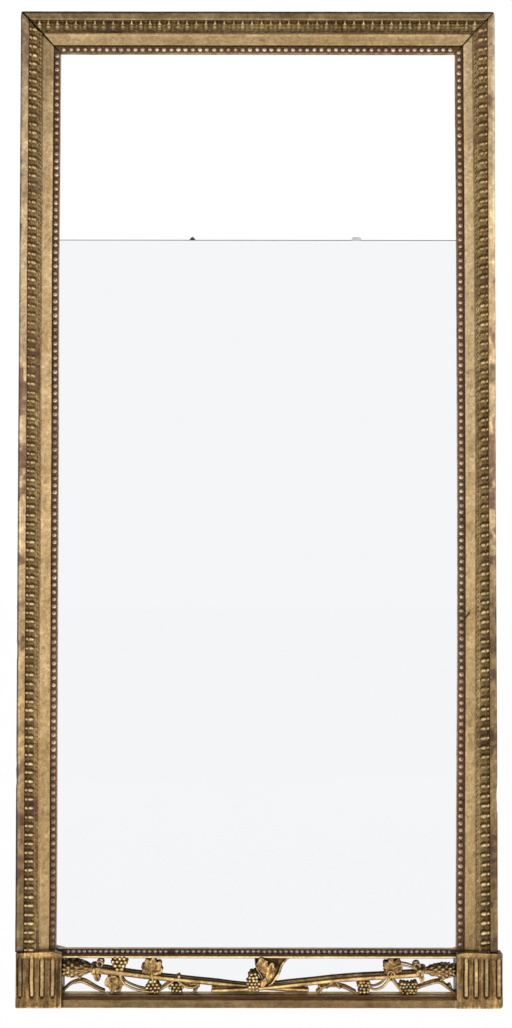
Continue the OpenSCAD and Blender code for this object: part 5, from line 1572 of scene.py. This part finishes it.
def vine_leaf(geo, bx, bz, h, lobes, seed, teeth=4, thick=2.4, groove=1.0):
    """Lobes from the foot (bx, bz): each is (angle from +X in degrees, length, width)."""
    rng = np.random.default_rng(seed)
    for i, (a, L, w) in enumerate(lobes):
        t = math.radians(a)
        k = rng.uniform(-1, 1, 3)
        hb = h + 0.5 * (i % 2)
        petal(geo, (bx - 1.5 * math.cos(t), hb, bz - 1.5 * math.sin(t)), (bx + L * math.cos(t), hb - 1.2 + 0.8 * k[0], bz + L * math.sin(t)), w, thick, 2.2 + 0.3 * k[1], groove,
              teeth, 0.22, 0.58, 1.4, 0.8 * k[2])


g = Geo()
vine_leaf(g, -187.0, 58.5, 30.0, [(176, 18.5, 14), (143, 23, 17), (112, 26.5, 17), (84, 28, 17), (52, 25.5, 17), (18, 20.5, 15), (205, 11, 9), (-14, 13, 10)], 1)
# the smaller leaf hanging in two lobes from the stems
vine_leaf(g, -249.0, 50.0, 31.0, [(212, 26, 21), (244, 26.5, 19), (276, 26, 15), (188, 17, 13), (305, 18, 12)], 2, 3, 2.6, 1.0)
# painted shade where the lobes turn away from the front and on the left part of the fan leaf; a dark spot at the top of
# the small leaf
carved("left_vine_leaves_carved", g, "left_vine_leaves", 0.6, 0, 341, 0.10,
       tone=lambda V, N: 0.30 + 1.5 * noise(V, 6, 81) + 1.1 * noise(V, 3.2, 82) - 0.9 * sstep(0.93, 0.75, -N[:, 1]) - 0.8 * sstep(-200, -206, V[:, 0]) * sstep(-215, -205, V[:, 0])
       - 2.2 * np.exp(-(((V[:, 0] + 257) / 5.0) ** 2 + ((V[:, 2] + ZH - 47.5) / 4.0) ** 2)) * (V[:, 2] + ZH < 56))
g = Geo()
vine_leaf(g, 246.0, 56.5, 30.6, [(152, 18, 14), (124, 27, 17), (98, 30, 17), (68, 30, 17), (38, 21, 15), (182, 12, 10), (6, 12, 9)], 3)
# painted shade where the lobes turn away from the front, on the left part of the leaf and towards its top
carved("right_vine_leaf_carved", g, "right_vine_leaf", 0.6, 0, 342, 0.10,
       tone=lambda V, N: 0.20 + 1.3 * noise(V, 6, 83) + 1.1 * noise(V, 3.2, 84) - 0.9 * sstep(0.93, 0.75, -N[:, 1]) - 0.8 * sstep(237, 229, V[:, 0]) - 0.4 * sstep(72, 84, V[:, 2] + ZH))
g = Geo()
# a folded leaf: a funnel behind, painted dark as shade, two lobes in front painted lighter, a rolled edge on the right
poly = [(-2.5, 89), (59, 89), (52, 80), (46.5, 73), (42, 61), (36, 50), (30, 41), (24, 34), (8, 34), (9, 44), (5, 55), (1, 62), (-1.5, 73)]
pn = len(poly)
Vp = np.array([(x, 26.0, z) for x, z in poly] + [(x, 32.5, z) for x, z in poly])
g.add(Vp, quads=np.array([[k, (k + 1) % pn, pn + (k + 1) % pn, pn + k] for k in range(pn)]), ngons=[list(range(pn)), list(range(2 * pn - 1, pn - 1, -1))])
petal(g, (17.0, 35.0, 57.0), (8.5, 35.5, 88.0), 22.0, 3.0, 3.0, 1.4, 4, 0.16, 0.55, 1.4, 0.6)
petal(g, (21.0, 35.5, 45.0), (29.5, 36.0, 79.0), 17.5, 3.0, 3.0, 1.4, 4, 0.16, 0.55, 1.4, 0.4)
petal(g, (17.0, 36.0, 52.0), (10.0, 36.5, 33.0), 12.0, 2.6, 2.4, 1.0, 2, 0.14, 0.5, 1.2, 0.4)
tube(g, catmull([(60, 30.5, 87.5), (52, 31.5, 81), (45.5, 32.5, 72), (41, 33.5, 60), (35, 34.5, 50), (28, 35.5, 41), (18, 36, 34)], 8), 2.6, 12)
tube(g, catmull([(-1, 32, 87), (-0.5, 32.5, 76), (2.5, 33, 65), (9, 34, 55), (13, 35, 45)], 8), 1.8, 12)
# painted shade on the funnel and where the lobes turn away from the front; the highest parts painted lighter
carved("centre_vine_leaf_carved", g, "centre_vine_leaf", 0.65, 0, 343, 0.10,
       tone=lambda V, N: -0.1 + 1.2 * noise(V, 7, 85) + 0.9 * noise(V, 3.4, 86) - 0.6 * sstep(0.93, 0.75, -N[:, 1]) - 2.2 * sstep(34.6, 33.2, -V[:, 1]) * sstep(64, 72, V[:, 2] + ZH) * sstep(44, 38, V[:, 0]) + 0.3 * sstep(36.0, 38.0, -V[:, 1]))

# ---------------------------------------------------------------- carried-over nodes

NODES = frame["nodes"]


def finish_node(name, mat, bevel=0.0, segments=2):
    ob = NODES[name]
    ob.data.materials.clear()
    ob.data.materials.append(mat)
    for p in ob.data.polygons:
        p.material_index = 0
    if bevel:
        w = ob.modifiers.new("weld", "WELD")
        w.merge_threshold = 1e-5
        b = ob.modifiers.new("ease", "BEVEL")
        b.width = bevel / 1000
        b.segments = segments
        b.limit_method = "ANGLE"
        b.angle_limit = math.radians(35)
        b.use_clamp_overlap = True
        b.harden_normals = False


for n in ("left_back_stile", "right_back_stile"):
    finish_node(n, m_pine_z, 0.8)
for n in ("back_top_rail", "back_cross_rail", "back_base_rail", "joint_batten"):
    finish_node(n, m_pine_x, 0.8)
for i, n in enumerate(("left_backboard", "middle_backboard", "right_backboard")):
    finish_node(n, m_board[i], 0.6)
finish_node("frieze_backboard", m_board_x, 0.6)
for n in ("back_frame_pegs", "plate_blocks", "block_dowels"):
    finish_node(n, m_pine_s, 0.4)
finish_node("upper_plate", m_up)
finish_node("lower_plate", m_low)
finish_node("frieze_plate", m_low)
for n in ("left_hanger_plate", "right_hanger_plate", "left_hinge_pin", "right_hinge_pin", "left_hanging_eye", "right_hanging_eye", "hanger_screws",
          "backboard_nails"):
    finish_node(n, m_iron, 0.25)
finish_node("left_plate_clip", m_iron, 0.12)
finish_node("right_plate_clip", m_clip, 0.12)

# ---------------------------------------------------------------- stage, light, camera

scene = bpy.context.scene


def stage_floor():
    me = bpy.data.meshes.new("floor")
    s, z = 40.0, -ZH / 1000 - 0.0005
    me.from_pydata([(-s, -s, z), (s, -s, z), (s, s, z), (-s, s, z)], [], [[0, 1, 2, 3]])
    ob = bpy.data.objects.new("floor", me)
    scene.collection.objects.link(ob)
    m = bpy.data.materials.new("pale_floor")
    m.use_nodes = True
    t = m.node_tree
    t.nodes.clear()
    out = t.nodes.new("ShaderNodeOutputMaterial")
    add = t.nodes.new("ShaderNodeAddShader")
    dif = t.nodes.new("ShaderNodeBsdfDiffuse")
    dif.inputs[0].default_value = (0.04, 0.04, 0.04, 1)
    em = t.nodes.new("ShaderNodeEmission")
    em.inputs[0].default_value = (1, 1, 1, 1)
    em.inputs[1].default_value = 0.985
    t.links.new(dif.outputs[0], add.inputs[0])
    t.links.new(em.outputs[0], add.inputs[1])
    t.links.new(add.outputs[0], out.inputs[0])
    me.materials.append(m)


stage_floor()

# soft studio surroundings: bright in front, dimmer to the sides, above and behind
w = bpy.data.worlds.new("studio")
scene.world = w
w.use_nodes = True
t = w.node_tree
t.nodes.clear()
tc = t.nodes.new("ShaderNodeTexCoord")
sep = t.nodes.new("ShaderNodeSeparateXYZ")
t.links.new(tc.outputs["Generated"], sep.inputs[0])
mr = t.nodes.new("ShaderNodeMapRange")
mr.interpolation_type = "SMOOTHSTEP"
mr.inputs["From Min"].default_value = -0.92
mr.inputs["From Max"].default_value = -0.50
mr.inputs["To Min"].default_value = 1.0
mr.inputs["To Max"].default_value = 0.16
t.links.new(sep.outputs["Y"], mr.inputs["Value"])
upn = t.nodes.new("ShaderNodeMapRange")
upn.interpolation_type = "SMOOTHSTEP"
upn.inputs["From Min"].default_value = 0.36
upn.inputs["From Max"].default_value = 0.85
upn.inputs["To Min"].default_value = 1.0
upn.inputs["To Max"].default_value = 0.35
t.links.new(sep.outputs["Z"], upn.inputs["Value"])
# the room behind
bk = t.nodes.new("ShaderNodeMapRange")
bk.interpolation_type = "SMOOTHSTEP"
bk.inputs["From Min"].default_value = 0.1
bk.inputs["From Max"].default_value = 0.9
bk.inputs["To Min"].default_value = 0.0
bk.inputs["To Max"].default_value = 0.4
t.links.new(sep.outputs["Y"], bk.inputs["Value"])
both = t.nodes.new("ShaderNodeMath")
both.operation = "ADD"
t.links.new(mr.outputs[0], both.inputs[0])
t.links.new(bk.outputs[0], both.inputs[1])
mul = t.nodes.new("ShaderNodeMath")
mul.operation = "MULTIPLY"
t.links.new(both.outputs[0], mul.inputs[0])
t.links.new(upn.outputs[0], mul.inputs[1])
lp = t.nodes.new("ShaderNodeLightPath")
bg1 = t.nodes.new("ShaderNodeBackground")
bg1.inputs[0].default_value = (1, 1, 1, 1)
t.links.new(mul.outputs[0], bg1.inputs[1])
bg2 = t.nodes.new("ShaderNodeBackground")
bg2.inputs[0].default_value = (1, 1, 1, 1)
bg2.inputs[1].default_value = 1.0
mx = t.nodes.new("ShaderNodeMixShader")
t.links.new(lp.outputs["Is Camera Ray"], mx.inputs[0])
t.links.new(bg1.outputs[0], mx.inputs[1])
t.links.new(bg2.outputs[0], mx.inputs[2])
wo = t.nodes.new("ShaderNodeOutputWorld")
t.links.new(mx.outputs[0], wo.inputs[0])


def softbox(name, loc, target, sx, sy, power, colour=(1, 1, 1)):
    li = bpy.data.lights.new(name, "AREA")
    li.shape = "RECTANGLE"
    li.size, li.size_y = sx, sy
    li.energy = power
    li.color = colour
    ob = bpy.data.objects.new(name, li)
    scene.collection.objects.link(ob)
    ob.location = loc
    ob.rotation_mode = "QUATERNION"
    ob.rotation_quaternion = (Vector(target) - Vector(loc)).to_track_quat("-Z", "Y")
    ob.visible_camera = False
    return ob


softbox("softbox_left", (-1.25, -3.5, -1.0), (-0.1, 0, -1.0), 0.5, 1.9, 7)
softbox("softbox_right", (1.25, -3.5, -1.0), (0.1, 0, -1.0), 0.5, 1.9, 7)

cam = bpy.data.cameras.new("camera")
cam.sensor_fit = "VERTICAL"
cam.sensor_height = 36.0
cam.sensor_width = 36.0
cam.lens = 61.26
cam.clip_start, cam.clip_end = 0.05, 200
co = bpy.data.objects.new("camera", cam)
scene.collection.objects.link(co)
co.rotation_mode = "QUATERNION"
pitch, roll = math.radians(2.028), math.radians(0.068)
co.rotation_quaternion = (Matrix.Rotation(math.radians(90) + pitch, 3, "X") @ Matrix.Rotation(roll, 3, "Z")).to_quaternion()
co.location = (-0.0011, -3.2, -1.0188)
scene.camera = co

scene.view_settings.view_transform = "Standard"
scene.view_settings.look = "None"
scene.view_settings.exposure = 0.0
scene.view_settings.gamma = 1.0
